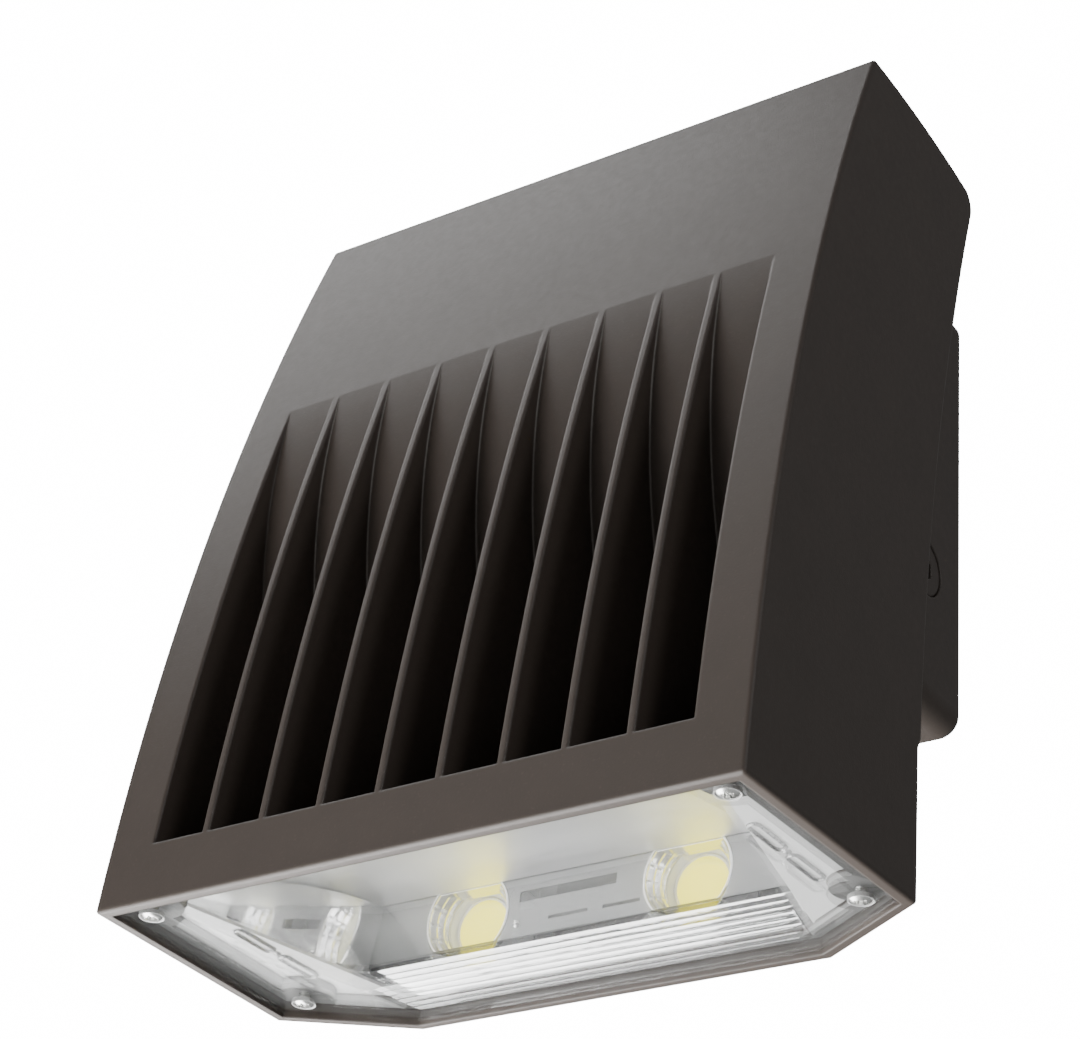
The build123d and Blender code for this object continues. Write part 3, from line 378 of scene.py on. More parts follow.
def thread_points(centre, axis, radius, length, pitch, steps=28):
    """A rolled thread: r = radius - 0.6 pitch |2 frac(h / pitch - a / 2 pi) - 1|.

    Over the last turn r also falls by a quarter of the radius, towards the tip.
    """
    height = np.linspace(0, length, int(length / pitch * 8) + 2)
    angle = np.linspace(0, 1, steps, endpoint=False)
    wave = np.abs(2 * ((height[:, None] / pitch - angle) % 1) - 1)
    tip = np.clip((height - length + pitch) / pitch, 0, 1)[:, None]
    turns = radius - 0.6 * pitch * wave - 0.25 * radius * tip
    local = round_grid(turns, height[:, None] + 0 * wave, steps)
    ends = [round_grid([0.0], [0.0], steps), local, round_grid([0.0], [length], steps)]
    return set_along(np.concatenate(ends), centre, axis)


def hex_head_points(centre, axis, across, height, steps=72):
    """A hex head: r(a) = across / 2 / cos(a mod 60° - 30°).

    It is chamfered on top, and stands on a washer face whose radius is round.
    """
    angle = np.linspace(0, 2 * math.pi, steps, endpoint=False)
    hexed = across / 2 / np.cos((angle % (math.pi / 3)) - math.pi / 6)
    even = 0 * angle
    washer = across / 2 * 1.12
    radii, heights = zip(
        (even, height), (even + 0.45 * across, height),
        (np.minimum(hexed, 0.49 * across), height * 0.97), (hexed, height * 0.86),
        (hexed, height * 0.16), (even + washer, height * 0.15), (even + washer, 0), (even, 0),
    )
    return set_along(round_grid(np.array(radii), np.array(heights), steps), centre, axis)


def turned_steel(name, color, roughness):
    """Bright steel with fine turning marks and a little tarnish."""
    made, tree, shader = new_finish(name, Metallic=1.0)
    place = object_place(tree)
    tarnish = noise(tree, place, scale=180, detail=5)
    marks = noise(tree, place, scale=2600, detail=2)
    body = blended(tree, tarnish, tone(color, 0.8), tone(color, 1.15))
    tree.links.new(body, shader.inputs["Base Color"])
    dull = spread(tree, tarnish, roughness - 0.08, roughness + 0.12)
    tree.links.new(dull, shader.inputs["Roughness"])
    bump = shader_node(tree, "Bump", {"Height": marks, "Distance": 0.00002, "Strength": 0.5})
    tree.links.new(bump.outputs["Normal"], shader.inputs["Normal"])
    return made


ground_low, ground_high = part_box("ground_screw")
ground_x = (ground_low.x + ground_high.x) / 2
ground_z = (ground_low.z + ground_high.z) / 2
ground_head = 0.0026
seat = (ground_x, ground_low.y + ground_head, ground_z)
head = hex_head_points(seat, (0, -1, 0), across=0.0066, height=ground_head)
thread = thread_points(
    seat, (0, 1, 0), radius=0.00195, length=ground_high.y - seat[1], pitch=0.0008
)
ground_screw = joined(
    "ground_screw_finished",
    [grid_mesh("head", head, closed=True), grid_mesh("thread", thread, closed=True)],
    turned_steel("green_screw", (0.10, 0.36, 0.16), roughness=0.35), "wall_box",
)
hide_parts("ground_screw")


# Hinge pins. Two headed pins of passivated steel run through the knuckles along the top of the
# box. They are pushed in from the sides, and have a rounded head and a chamfered tip.
zinc_steel = turned_steel("passivated_steel", (0.50, 0.49, 0.46), roughness=0.36)
pins_low, pins_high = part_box("hinge_pins")
pin_head = 0.0015
pin_head_radius = (pins_high.z - pins_low.z) / 2
pin_radius = 0.00195
pin_length = 0.0235
pin_chamfer = 0.0004
pin_y = (pins_low.y + pins_high.y) / 2
pin_z = (pins_low.z + pins_high.z) / 2
share = np.linspace(0, 1, 8)
pin = [(pin_head_radius * part, pin_head * math.sqrt(1 - 0.7 * part * part)) for part in share]
pin += [
    (pin_head_radius, 0), (pin_radius, 0), (pin_radius, pin_chamfer - pin_length),
    (pin_radius * 0.8, -pin_length), (0, -pin_length),
]
pin_parts = []
for hand in (-1, 1):
    start = (hand * (pins_high.x - pin_head), pin_y, pin_z)
    points = turned_points(pin, start, (hand, 0, 0), 48)
    pin_parts.append(grid_mesh("pin", points, closed=True))
hinge_pins = joined("hinge_pins_finished", pin_parts, zinc_steel, "wall_box")
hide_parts("hinge_pins")


# Door casting. One aluminium die casting carries the fins, the optical chamber and the driver
# space. It has the same bronze coat as the back box; the fins' front edges carry a pale painted
# highlight.
fins_zone = (0.0895, -0.171, 0.052)      # half width, foot and top
fins_painted_highlight = (0.46, 0.43, 0.40)
finish_node(
    "housing",
    powder_coat(
        "bronze_on_casting", bronze_color, bronze_worn_and_highlit, **bronze_grain,
        rubbed=(fins_painted_highlight, *fins_zone),
    ),
)


# Door gasket. A moulded ring of black silicone pressed into the groove round the door's neck.
# The grommet that seals the LED leads is of the same rubber.
black_rubber = rubber(
    "black_rubber", (0.022, 0.022, 0.022), roughness=0.6, grain=1400, relief=0.00004
)
finish_node("door_gasket", black_rubber)
grommet = merged_copy("wire_grommet", black_rubber)
broken_edges(grommet, width=0.0005, segments=3)


# Closure screws. A captive screw under each front corner of the box draws the door shut: a
# knurled round head with a hex socket, a rolled thread, and a square nut in the box's ear.
def socket_head_points(centre, axis, radius, height, socket, steps=144):
    """A round head knurled by r = radius (1 - 0.03 |cos 36 a|), with a hex socket in its top.

    The socket's radius is socket / cos(a mod 60° - 30°), and it goes down over half the height.
    """
    angle = np.linspace(0, 2 * math.pi, steps, endpoint=False)
    knurl = radius * (1 - 0.03 * np.abs(np.cos(36 * angle)))
    hexed = socket / np.cos((angle % (math.pi / 3)) - math.pi / 6)
    even = 0 * angle
    radii, heights = zip(
        (even, 0.45 * height), (hexed, 0.45 * height), (hexed, 0.97 * height),
        (hexed * 1.06, height), (even + 0.86 * radius, height), (knurl * 0.95, 0.97 * height),
        (knurl, 0.88 * height), (knurl, 0.12 * height), (even + 0.95 * radius, 0.04 * height),
        (even + 0.95 * radius, 0), (even, 0),
    )
    return set_along(round_grid(np.array(radii), np.array(heights), steps), centre, axis)


closure_head = 0.004
closure_radius = 0.0025
closure_socket = 0.0019       # half its width across flats
closure_pitch = 0.0009
for side_name in ("left", "right"):
    low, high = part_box("closure_screw_" + side_name)
    seat = ((low.x + high.x) / 2, (low.y + high.y) / 2, low.z + closure_head)
    head_radius = (high.x - low.x) / 2
    head = socket_head_points(seat, (0, 0, -1), head_radius, closure_head, closure_socket)
    thread = thread_points(seat, (0, 0, 1), closure_radius, high.z - seat[2], closure_pitch)
    closure = joined(
        f"closure_screw_{side_name}_finished",
        [grid_mesh("head", head, closed=True), grid_mesh("thread", thread, closed=True)],
        zinc_steel, "closure_" + side_name,
    )
    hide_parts("closure_screw_" + side_name)
nuts = merged_copy("closure_nuts", zinc_steel)
broken_edges(nuts, width=0.0005)


# Driver tray. A galvanised steel plate with clipped corners stands on four bosses in the door.
# Its hex screws are zinc plated, and so are those that hold the driver and the surge protector.
def galvanised(name, color):
    """Galvanised sheet: flat crystals a few millimetres wide, each with its own grey."""
    made, tree, shader = new_finish(name, Metallic=1.0)
    place = object_place(tree)
    crystal = shader_node(tree, "TexVoronoi", {"Vector": place, "Scale": 240})
    shade = shader_node(tree, "SeparateColor", {0: crystal.outputs["Color"]}).outputs[0]
    spangle = blended(tree, shade, tone(color, 0.78), tone(color, 1.12))
    tree.links.new(spangle, shader.inputs["Base Color"])
    tree.links.new(spread(tree, shade, 0.30, 0.48, 0, 1), shader.inputs["Roughness"])
    fine = noise(tree, place, scale=900, detail=2)
    bump = shader_node(tree, "Bump", {"Height": fine, "Distance": 0.00002, "Strength": 0.4})
    tree.links.new(bump.outputs["Normal"], shader.inputs["Normal"])
    return made


tray = merged_copy("driver_tray", galvanised("galvanised_sheet", (0.56, 0.57, 0.59)))
broken_edges(tray, width=0.0003)


def hex_screws(name, spots, seat_y, across, head, length, radius):
    """Hex screws that point into the door from a seat, one at each (x, z)."""
    parts = []
    for x, z in spots:
        points = hex_head_points((x, seat_y, z), (0, 1, 0), across, head)
        parts.append(grid_mesh("head", points, closed=True))
        points = thread_points((x, seat_y, z), (0, -1, 0), radius, length, pitch=0.0007, steps=20)
        parts.append(grid_mesh("thread", points, closed=True))
    screws = joined(name + "_finished", parts, zinc_steel)
    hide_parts(name)


tray_low, tray_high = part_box("driver_tray")
tray_screw_inset = 0.008      # from the tray's edges to its screws
tray_screw_spots = [
    (x, z)
    for x in (tray_low.x + tray_screw_inset, tray_high.x - tray_screw_inset)
    for z in (tray_low.z + tray_screw_inset, tray_high.z - tray_screw_inset)
]
hex_screws(
    "tray_screws", tray_screw_spots, tray_high.y,
    across=0.0066, head=0.0026, length=0.010, radius=0.00195,
)

driver_low, driver_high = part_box("driver")
surge_low, surge_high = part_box("surge_protector")
flange_thick = 0.002
driver_flange = 0.014         # the reach of its flanges beyond the case
surge_flange = 0.009
modules = ((driver_low, driver_high, driver_flange), (surge_low, surge_high, surge_flange))
module_screw_spots = []
for low, high, flange in modules:
    height = (low.z + high.z) / 2
    module_screw_spots += [(low.x + flange / 2, height), (high.x - flange / 2, height)]
hex_screws(
    "module_screws", module_screw_spots, tray_high.y + flange_thick,
    across=0.0041, head=0.0014, length=0.005, radius=0.00125,
)


# Driver and surge protector. The driver's electronics are potted in a folded aluminium case,
# painted white; the surge protector's are in a black moulded one. Both have flanges at the ends.
def moulded_plastic(name, color, roughness, grain=900, relief=0.00003):
    """Moulded plastic: even colour, a fine spark-eroded grain and softly lighter edges, a painted
    highlight.
    """
    made, tree, shader = new_finish(name, IOR=1.5)
    place = object_place(tree)
    cloud = noise(tree, place, scale=50, detail=4)
    edge, rounded = edge_share(tree, 0.0004, 0.35)
    body = blended(tree, cloud, tone(color, 0.93), tone(color, 1.06))
    # Painted highlight: the colour is made half again as light along the edges.
    tree.links.new(blended(tree, edge, body, tone(color, 1.5)), shader.inputs["Base Color"])
    dull = spread(tree, cloud, roughness - 0.05, roughness + 0.06)
    tree.links.new(dull, shader.inputs["Roughness"])
    sparked = noise(tree, place, grain, detail=2)
    bump = shader_node(
        tree, "Bump", {"Height": sparked, "Distance": relief, "Strength": 0.5, "Normal": rounded}
    )
    tree.links.new(bump.outputs["Normal"], shader.inputs["Normal"])
    return made


# Its edges are a little lighter: partly worn paint, partly painted highlight.
white_paint = powder_coat(
    "white_driver_case", (0.62, 0.62, 0.60), (0.75, 0.75, 0.74),
    patch=30, peel_scale=1800, gloss=(0.36, 0.44),
)
driver = merged_copy("driver", white_paint)
broken_edges(driver, width=0.0004)
black_case = moulded_plastic("black_case", (0.030, 0.030, 0.033), roughness=0.42)
surge = merged_copy("surge_protector", black_case)
broken_edges(surge, width=0.0004)


# Terminal block. Three push-in ways in ivory plastic, with a round release button over each
# wire port and thin ribs between the ways.
ivory = moulded_plastic("ivory_terminal", (0.72, 0.70, 0.62), roughness=0.36)
terminals = merged_copy("terminal_block", ivory)
broken_edges(terminals, width=0.0004)
block_low, block_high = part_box("terminal_block")
ways = 3
way_pitch = (block_high.x - block_low.x) / ways
button_radius = 0.0022
button_rise = 0.0008
button_foot = -0.0005         # sunk in the block
block_middle = (block_low.z + block_high.z) / 2
share = np.linspace(0, 1, 6)
button = [(button_radius * part, button_rise * (1 - 0.35 * part**3)) for part in share]
button += [(button_radius, button_foot), (0, button_foot)]
button_parts = []
for number in range(ways):
    spot = (block_low.x + (number + 0.5) * way_pitch, block_high.y, block_middle)
    points = turned_points(button, spot, (0, 1, 0), 32)
    button_parts.append(grid_mesh("button", points, closed=True))
orange = moulded_plastic("orange_button", (0.75, 0.22, 0.03), roughness=0.35)
buttons = joined("terminal_buttons", button_parts, orange)


# Leads. Stranded wires in silicone sheaths: white ones run down from the driver to the LEDs, and
# short ones loop from the driver up to the terminals and the surge protector.
def wire_points(ends, bulge, radius, steps=24, rows=40):
    """A sheath round the path start + t (end - start) + sin(pi t)² bulge, by its own frame."""
    start, end = (np.array(place, float) for place in ends)
    share = np.linspace(0, 1, rows)[:, None]
    path = start + share * (end - start) + np.sin(math.pi * share) ** 2 * np.array(bulge)
    along = np.gradient(path, axis=0)
    along /= np.linalg.norm(along, axis=1, keepdims=True)
    side = np.cross(along, (0, 1, 0))
    side /= np.linalg.norm(side, axis=1, keepdims=True)
    other = np.cross(along, side)
    angle = np.linspace(0, 2 * math.pi, steps, endpoint=False)[:, None]
    ring = side[:, None] * np.cos(angle) + other[:, None] * np.sin(angle)
    tube = path[:, None] + radius * ring
    cap = np.ones((1, steps, 1))
    return np.concatenate([path[:1, None] * cap, tube, path[-1:, None] * cap])


sheath = rubber("white_sheath", (0.62, 0.62, 0.60), roughness=0.42, grain=1600, relief=0.00002)
finish_node("led_leads", sheath)
leads_low, leads_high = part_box("supply_leads")
lead_radius = 0.0013
lead_y = (leads_low.y + leads_high.y) / 2
block_run = ((block_low.x + block_high.x) / 2, way_pitch, block_low.z, 0.0014, 0.0022)
surge_run = ((surge_low.x + surge_high.x) / 2, 0.010, surge_low.z, 0.0012, 0.0016)
lead_parts = []
for number in (-1, 0, 1):
    for run_middle, run_pitch, run_top, fan_out, bow in (block_run, surge_run):
        port = run_middle + number * run_pitch
        ends = ((port, lead_y, driver_high.z), (port, lead_y, run_top))
        points = wire_points(ends, (fan_out * number, bow, 0), lead_radius)
        lead_parts.append(grid_mesh("lead", points, closed=True))
supply_leads = joined("supply_leads_finished", lead_parts, sheath)
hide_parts("supply_leads")


# Breather. A black moulded cap with a knurled rim screws into the back of the door and lets the
# optical chamber breathe through a membrane.
vent_black = moulded_plastic("vent_plastic", (0.045, 0.045, 0.045), roughness=0.45)
vent = merged_copy("breather_vent", vent_black)
broken_edges(vent, width=0.0003)
vent_low, vent_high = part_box("breather_vent")
vent_x = (vent_low.x + vent_high.x) / 2
vent_z = (vent_low.z + vent_high.z) / 2
rib_count = 24
rib_inset = 0.00035           # of a rib's middle in the rim
rib_foot = vent_high.y - 0.0034
rib_ring = (vent_high.x - vent_low.x) / 2 - rib_inset
rib = [(0, 0), (0.00045, 0.0001), (0.00045, 0.0020), (0, 0.0023)]
rib_parts = []
for angle in np.linspace(0, 2 * math.pi, rib_count, endpoint=False):
    spot = (vent_x + rib_ring * math.cos(angle), rib_foot, vent_z + rib_ring * math.sin(angle))
    rib_parts.append(grid_mesh("rib", turned_points(rib, spot, (0, 1, 0), 10), closed=True))
ribs = joined("vent_ribs", rib_parts, vent_black)


# LEDs. Each is a white ceramic board with a round field of yellow phosphor in silicone inside
# a low white dam, pressed on a grey thermal pad by a moulded white frame with two small screws.
def phosphor_gel(name):
    """Yellow phosphor under clear silicone: a fine grain, and a weak painted glow that makes it
    look brightly lit.
    """
    made, tree, shader = new_finish(name, IOR=1.41, Coat_Weight=0.1, Coat_Roughness=0.1)
    place = object_place(tree)
    grain = noise(tree, place, scale=2600, detail=2)
    body = blended(tree, grain, (0.90, 0.78, 0.02, 1), (1.0, 0.88, 0.05, 1))
    tree.links.new(body, shader.inputs["Base Color"])
    # Painted light: a weak yellow emission that brightens the phosphor, far below a working LED's
    # light.
    glow = blended(tree, grain, (0.97, 0.86, 0.0, 1), (1.0, 0.94, 0.0, 1))
    tree.links.new(glow, shader.inputs["Emission Color"])
    shader.inputs["Emission Strength"].default_value = 2.4
    tree.links.new(spread(tree, grain, 0.4, 0.55), shader.inputs["Roughness"])
    bump = shader_node(tree, "Bump", {"Height": grain, "Distance": 0.00003, "Strength": 0.4})
    tree.links.new(bump.outputs["Normal"], shader.inputs["Normal"])
    return made


led_low, led_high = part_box("cob_phosphor")
led_radius = (led_high.z - led_low.z) / 2
led_height = (led_low.z + led_high.z) / 2
led_spots = [led_low.x + led_radius, led_high.x - led_radius]
crown = 0.00045
share = np.linspace(0, 1, 14)
gel = np.stack([share * led_radius, crown * (1 - share**2)], axis=-1)
gel_back = led_low.y - led_high.y
gel = np.concatenate([gel, [[led_radius, gel_back], [0, gel_back]]])
dam_wide = 0.0009
bead = dam_wide / 2
angle = np.linspace(-0.25 * math.pi, 1.25 * math.pi, 13)
dam = np.stack([led_radius + bead + bead * np.cos(angle), bead * np.sin(angle)], axis=-1)
phosphor_parts = []
dam_parts = []
for x in led_spots:
    centre = (x, led_low.y, led_height)
    points = turned_points(gel, centre, (0, -1, 0), 64)
    phosphor_parts.append(grid_mesh("phosphor", points, closed=True))
    points = turned_points(dam, centre, (0, -1, 0), 72)
    dam_parts.append(grid_mesh("dam", points, closed=True))
phosphor = joined("led_phosphor", phosphor_parts, phosphor_gel("yellow_phosphor"))
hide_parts("cob_phosphor")
white_ceramic = moulded_plastic(
    "white_ceramic", (0.86, 0.86, 0.86), roughness=0.3, grain=1800, relief=0.00001
)
dams = joined("led_dams", dam_parts, white_ceramic)
finish_node("cob_boards", white_ceramic)
white_holder = moulded_plastic("white_holder", (0.82, 0.83, 0.83), roughness=0.38)
holders = merged_copy("cob_holders", white_holder)
broken_edges(holders, width=0.0003)
thermal_pad = rubber(
    "thermal_pad", (0.40, 0.43, 0.46), roughness=0.7, grain=1500, relief=0.00003
)
finish_node("thermal_pads", thermal_pad)


def recessed_head_points(centre, axis, radius, height, recess=0.5, steps=72):
    """A domed head: h(r) = height sqrt(1 - 0.75 r²), r from 0 to 1.

    It drops by 0.62 of its height inside the six lobes r < recess (1 + 0.13 cos 6a).
    """
    share = np.concatenate([np.linspace(0, 0.75, 16), np.linspace(0.8, 1.0, 6)])
    angle = np.linspace(0, 2 * math.pi, steps, endpoint=False)
    dome = height * np.sqrt(1 - 0.75 * share**2)[:, None] * np.ones(steps)
    lobe = recess * (1 + 0.13 * np.cos(6 * angle))[None, :]
    dome -= np.clip((lobe - share[:, None]) / 0.05, 0, 1) * 0.62 * height
    heights = np.concatenate([dome, np.zeros((2, steps))])
    radii = np.concatenate([share, [1.0, 0.0]])[:, None] * radius * np.ones(steps)
    return set_along(round_grid(radii, heights, steps), centre, axis)


stainless = turned_steel("stainless_steel", (0.72, 0.72, 0.70), roughness=0.24)
holder_low, holder_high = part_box("holder_screws")
small_head = 0.0014
small_radius = (holder_high.z - holder_low.z) / 2
small_thread = 0.00125
small_pitch = 0.0006
holder_offset = 0.0143        # from an LED's middle to its screws
small_parts = []
for x in led_spots:
    for hand in (-1, 1):
        seat = (x + hand * holder_offset, holder_low.y + small_head, led_height)
        points = recessed_head_points(seat, (0, -1, 0), small_radius, small_head)
        small_parts.append(grid_mesh("head", points, closed=True))
        length = holder_high.y - seat[1]
        points = thread_points(seat, (0, 1, 0), small_thread, length, small_pitch, steps=20)
        small_parts.append(grid_mesh("thread", points, closed=True))
holder_screws = joined("holder_screws_finished", small_parts, stainless)
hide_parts("holder_screws")


# Reflector. Bright-rolled aluminium sheet: a satin ceiling bent down from the LED wall, a fluted
# strip behind the lens edge, and an end piece at each side with a flat panel over the gasket.
wall_front = -0.0940          # the face of the LED wall
panel_top = -0.1790           # the end pieces' flat panels lie below it


def bright_sheet(
    name, color, roughness, waves, wave_height, wall_painted_shade=1.0, wall_polish=1.0, panel_roughness=0
):
    """Reflector sheet: mirror to satin, streaked along the light, and slightly wavy.

    At the LED wall its colour is multiplied by a share, a painted dark reflection, and its
    roughness by another share; its flat panels are at least so rough.
    """
    made, tree, shader = new_finish(name, Metallic=1.0)
    streak_place = object_place(tree, (0.06, 1, 1))
    place = object_place(tree)
    streaks = noise(tree, streak_place, scale=900, detail=3)
    cloud = noise(tree, place, scale=35, detail=4)
    body = blended(tree, cloud, tone(color, 0.95), tone(color, 1.03))
    parts = shader_node(tree, "SeparateXYZ", {0: place}).outputs
    at_wall = spread(tree, parts["Y"], 0, 1, wall_front - 0.0010, wall_front - 0.0001)
    # Painted shade: the sheet's colour is made darker at the LED wall, painted in for its dark
    # reflections.
    dull = blended(tree, cloud, tone(color, 0.95 * wall_painted_shade), tone(color, 1.03 * wall_painted_shade))
    tree.links.new(blended(tree, at_wall, body, dull), shader.inputs["Base Color"])
    share = shader_node(tree, "Math", {0: streaks, 1: cloud}, operation="MULTIPLY").outputs[0]
    polish = spread(tree, share, *roughness, near=0.12, far=0.40)
    rubbed = spread(tree, at_wall, 1.0, wall_polish, 0, 1)
    polish = shader_node(tree, "Math", {0: polish, 1: rubbed}, operation="MULTIPLY").outputs[0]
    in_panel = spread(tree, parts["Z"], panel_roughness, 0, panel_top - 0.0005, panel_top)
    rough = shader_node(tree, "Math", {0: polish, 1: in_panel}, operation="MAXIMUM").outputs[0]
    tree.links.new(rough, shader.inputs["Roughness"])
    rolled = noise(tree, place, waves, detail=2)
    bump = shader_node(tree, "Bump", {"Height": rolled, "Distance": wave_height, "Strength": 1.0})
    tree.links.new(bump.outputs["Normal"], shader.inputs["Normal"])
    return made


mirror_sheet = bright_sheet(
    "bright_reflector", (0.84, 0.84, 0.84), roughness=(0.04, 0.13), waves=70, wave_height=0.00018
)
# wall_painted_shade paints the LED wall at 0.13 of the sheet's colour: a painted dark reflection.
satin_sheet = bright_sheet(
    "satin_reflector", (0.94, 0.94, 0.94), roughness=(0.41, 0.53), waves=40, wave_height=0.00010,
    wall_painted_shade=0.13, wall_polish=0.22,
)
finish_node("main_reflector", satin_sheet)
end_sheet = bright_sheet(
    "end_reflector", (0.92, 0.92, 0.915), roughness=(0.02, 0.08), waves=60, wave_height=0.00004,
    panel_roughness=0.62,
)
for side_name in ("left", "right"):
    end_piece = merged_copy("end_reflector_" + side_name, end_sheet)
    broken_edges(end_piece, width=0.0003)


# Flutes. The strip between the LED wall and the lens edge is rolled from the same bright sheet
# into shallow ridges that run across the light, with a narrow fold between each two.
def flute_points(front, back, front_half, back_half, count, rise):
    """A strip from front to back (y, z) that drops by rise (1 - |2 frac(count t) - 1|^5)."""
    share = np.linspace(0, 1, count * 24 + 1)[:, None]
    ridge = share * count % 1
    sideways = (front_half - share * (front_half - back_half)) * np.linspace(-1, 1, 41)
    depth = front[0] + share * (back[0] - front[0]) + 0 * sideways
    height = front[1] + share * (back[1] - front[1]) - rise * (1 - np.abs(2 * ridge - 1) ** 5)
    return np.stack([sideways, depth, height + 0 * sideways], axis=-1)


flutes_low, flutes_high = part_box("fluted_reflector")
flute_count = 6
flute_rise = 0.00042
strip_taper = 0.0045          # each end lies this much nearer the middle at the back
strip_thick = 0.0005
front_edge = (flutes_low.y, flutes_high.z - 0.0008)
back_edge = (flutes_high.y, flutes_low.z + 0.00035)
front_half, back_half = flutes_high.x, flutes_high.x - strip_taper
strip = flute_points(front_edge, back_edge, front_half, back_half, flute_count, flute_rise)
flutes = joined("flutes", [grid_mesh("flutes", strip)], mirror_sheet, smooth=60)
sheet = flutes.modifiers.new("sheet", "SOLIDIFY")
sheet.thickness = strip_thick
sheet.offset = 0
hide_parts("fluted_reflector")


# Cups. A chromed cup sits round each LED: three rows of cells between fine raised ribs, with a
# rolled rim, cut off level with the foot of the LED wall and with the ceiling.
cup_mouth = 0.0154
cup_throat = 0.0119
cup_rows = 3
cup_cells = 16
cup_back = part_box("main_reflector")[1].y
cup_foot = led_height - 0.0103
cup_top = led_height + 0.0094
cup_thick = 0.0002
rim_radius = 0.0005


def levelled(points):
    """The same points, with those under the cup's foot or over its top brought level with them."""
    level = points.copy()
    level[..., 2] = np.clip(level[..., 2], cup_foot, cup_top)
    return level


def ribbed_cup_points(centre, depth, throat, mouth, rows, cells, rib=0.00028):
    """A cup r = throat + (mouth - throat) t^1.3, t from 0 at its back to 1 at its mouth.

    A rib is taken off the radius where rows t or cells a / 2 pi is whole.
    """
    share = np.linspace(0, 1, rows * 12 + 1)[:, None]
    turn = np.linspace(0, 1, cells * 10, endpoint=False)[None, :]
    row_gap = np.abs((share * rows + 0.5) % 1 - 0.5) / rows * depth
    cell_gap = np.abs((turn * cells + 0.5) % 1 - 0.5) / cells * 2 * math.pi * mouth
    ridge = np.maximum(1 - np.minimum(row_gap, cell_gap) / (2 * rib), 0)
    radius = throat + (mouth - throat) * share**1.3 - rib * ridge
    local = round_grid(radius, share * depth, cells * 10)
    return set_along(local, centre, (0, -1, 0))


cup_depth = cup_back - wall_front
angle = np.linspace(0, 2 * math.pi, 17)
rim = np.stack([cup_mouth + rim_radius * np.cos(angle), rim_radius * np.sin(angle)], axis=-1)
cup_parts = []
rim_parts = []
for x in led_spots:
    centre = (x, cup_back, led_height)
    points = ribbed_cup_points(centre, cup_depth, cup_throat, cup_mouth, cup_rows, cup_cells)
    cup_parts.append(grid_mesh("cup", levelled(points), closed=True))
    points = turned_points(rim, (x, wall_front, led_height), (0, -1, 0), 96)
    rim_parts.append(grid_mesh("rim", levelled(points), closed=True))
cup_sheet = bright_sheet(
    "cup_sheet", (0.80, 0.80, 0.81), roughness=(0.10, 0.22), waves=120, wave_height=0.00004
)
cups = joined("led_cups", cup_parts, cup_sheet)
sheet = cups.modifiers.new("sheet", "SOLIDIFY")
sheet.thickness = cup_thick
cup_rims = joined("led_cup_rims", rim_parts, mirror_sheet)


# Rivet. A small blind rivet of stainless steel beside the left cup holds the LED wall to the
# bracket behind it. It is set from the front, so its domed head shows, with a dent in the middle.
rivet_spot = (-0.0216, wall_front, -0.1706)
rivet_profile = [
    (0, 0.0007), (0.0004, 0.0007), (0.0006, 0.0009), (0.0011, 0.0007), (0.0015, 0.0001),
    (0.0015, -0.0003), (0, -0.0003),
]
points = turned_points(rivet_profile, rivet_spot, (0, -1, 0), 32)
rivet = joined("reflector_rivet", [grid_mesh("rivet", points, closed=True)], stainless)


# Panel marks. Each end panel has two long stiffening beads pressed into its sheet, one behind
# the other, with a small round dimple between them. They are coloured a darker grey than the
# panel's sheet: painted shade.
def bead_points(centre, half_length, width, height, steps=48):
    """A raised ring along a stadium: it hangs by height sqrt(1 - s²), s from -1 to 1 across it."""
    turn = np.linspace(0, 2 * math.pi, steps, endpoint=False)
    straight = np.where(np.cos(turn) > 0, half_length, -half_length)
    line = np.stack([width * np.sin(turn), straight + width * np.cos(turn)], axis=-1)
    outward = np.stack([np.sin(turn), np.cos(turn)], axis=-1)
    across = np.linspace(-1, 1, 9)
    rise = height * np.sqrt(np.maximum(1 - across**2, 0))
    flat = line[:, None] + outward[:, None] * (across * 0.35 * width)[None, :, None]
    drop = np.broadcast_to(-rise[None, :, None], (*flat.shape[:2], 1))
    points = np.concatenate([flat, drop], axis=-1) + np.array(centre)
    return points.transpose(1, 0, 2)


panel_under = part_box("end_reflector_right")[0].z
mark_line = 0.0920            # how far out the beads lie
bead_middles = (-0.1344, -0.1124)
dimple_middle = -0.1234
dimple = [(0, 0.0008), (0.0009, 0.0006), (0.0014, 0.0002), (0.0015, 0)]
mark_parts = []
for hand in (-1, 1):
    for y in bead_middles:
        centre = (hand * mark_line, y, panel_under)
        points = bead_points(centre, half_length=0.0070, width=0.0018, height=0.0009)
        mark_parts.append(grid_mesh("bead", points, closed=True))
    centre = (hand * mark_line, dimple_middle, panel_under)
    points = turned_points(dimple, centre, (0, 0, -1), 24)
    mark_parts.append(grid_mesh("dimple", points, closed=True))
# Painted shade: the pressed marks get a mid grey, far darker than the bright panel they are
# pressed in.
painted_shade_bead_sheet = bright_sheet(
    "stamped_bead", (0.42, 0.42, 0.42), roughness=(0.2, 0.35), waves=200, wave_height=0.00002
)
marks = joined("panel_beads", mark_parts, painted_shade_bead_sheet)


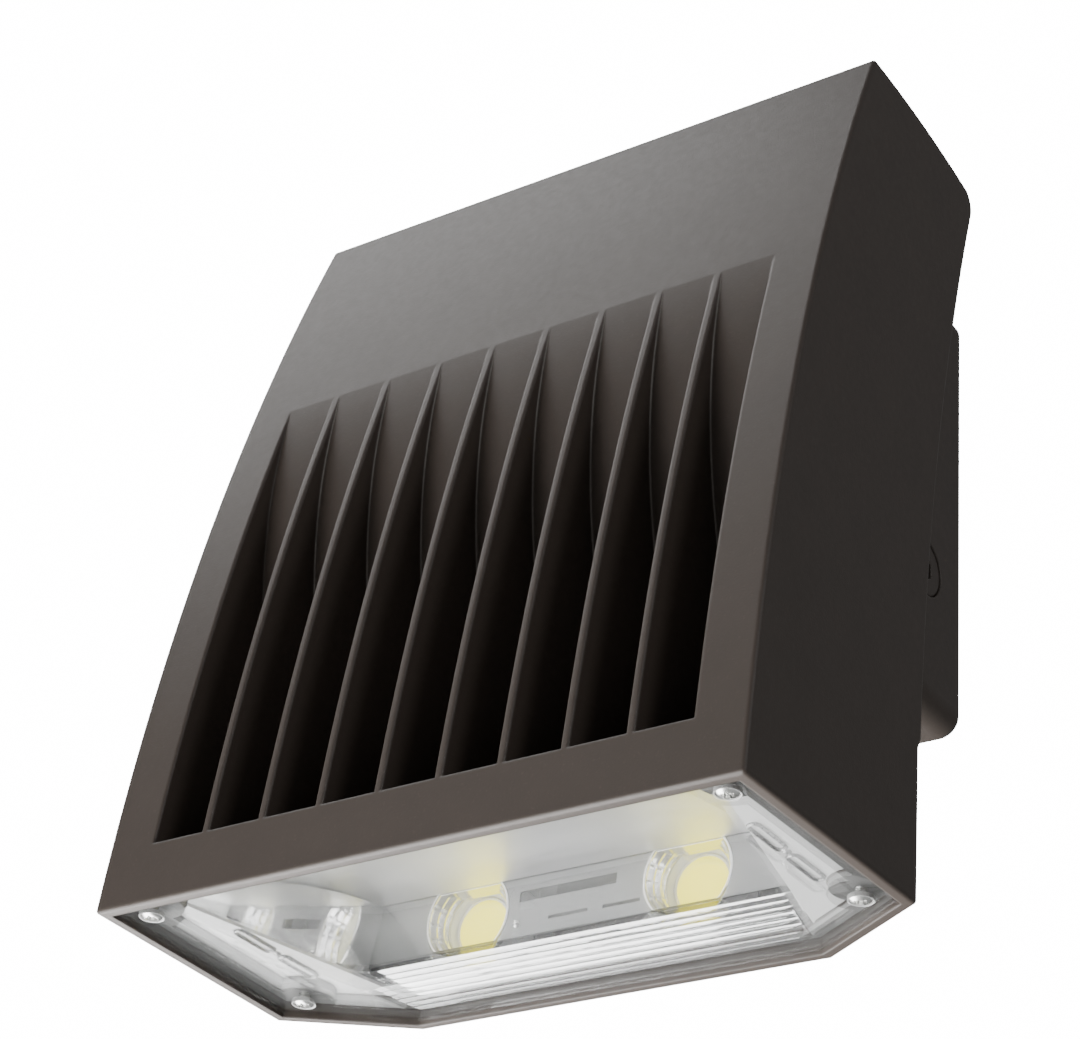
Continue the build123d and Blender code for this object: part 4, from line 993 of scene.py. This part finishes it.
# Lens. A flat six-sided plate of clear toughened glass with ground and polished edges, drilled
# and counterbored for its four screws, on a cut ring of grey silicone.
def clear_glass(name):
    """Clear glass with the faintest smears and waves, which also lets light straight through."""
    made, tree, shader = new_finish(
        name, Base_Color=(0.985, 1, 0.992, 1), IOR=1.5, Transmission_Weight=1.0, Alpha=0.3
    )
    place = object_place(tree)
    smear = spread(tree, noise(tree, place, scale=45, detail=5), 0.0, 0.035, near=0.45, far=0.75)
    tree.links.new(smear, shader.inputs["Roughness"])
    waves = noise(tree, place, scale=60, detail=1)
    bump = shader_node(tree, "Bump", {"Height": waves, "Distance": 0.00005, "Strength": 0.2})
    tree.links.new(bump.outputs["Normal"], shader.inputs["Normal"])
    return made


lens = merged_copy("lens", clear_glass("toughened_glass"))
broken_edges(lens, width=0.0004)
grey_silicone = rubber(
    "grey_silicone", (0.23, 0.23, 0.225), roughness=0.45, grain=1800, relief=0.00003
)
finish_node("lens_gasket", grey_silicone)


# Lens screws. Four stainless pan-head screws with six-lobed recesses clamp the glass, each in a
# short grey sleeve that keeps the steel off the glass.
screw_low, screw_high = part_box("lens_screws")
head_radius = 0.0035
head_height = 0.0020
shank_radius = 0.0017
shank_pitch = 0.0007
sleeve_bore = head_radius + 0.00004
sleeve_radius = head_radius + 0.00046
sleeve_height = 0.0013
sleeve = [
    (sleeve_bore, 0), (sleeve_bore, sleeve_height),
    (head_radius + 0.00035, sleeve_height + 0.0001),
    (sleeve_radius, sleeve_height), (sleeve_radius, 0), (sleeve_bore, 0),
]
rear_inset = 0.00025          # the rear screws stand this much nearer the middle
front_x = screw_high.x - head_radius
lens_screw_spots = [
    (hand * (front_x - inset), y)
    for hand in (-1, 1)
    for inset, y in ((0, screw_low.y + head_radius), (rear_inset, screw_high.y - head_radius))
]
screw_parts = []
sleeve_parts = []
for x, y in lens_screw_spots:
    seat = (x, y, screw_low.z + head_height)
    head = recessed_head_points(seat, (0, 0, -1), head_radius, head_height)
    screw_parts.append(grid_mesh("head", head, closed=True))
    thread = thread_points(seat, (0, 0, 1), shank_radius, screw_high.z - seat[2], shank_pitch)
    screw_parts.append(grid_mesh("thread", thread, closed=True))
    points = turned_points(sleeve, seat, (0, 0, -1), 64)
    sleeve_parts.append(grid_mesh("sleeve", points, closed=True))
lens_screws = joined("lens_screws_finished", screw_parts, stainless)
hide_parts("lens_screws")
grey_sleeve = rubber(
    "grey_sleeve", (0.55, 0.55, 0.54), roughness=0.4, grain=1800, relief=0.00002
)
sleeves = joined("lens_screw_sleeves", sleeve_parts, grey_sleeve)
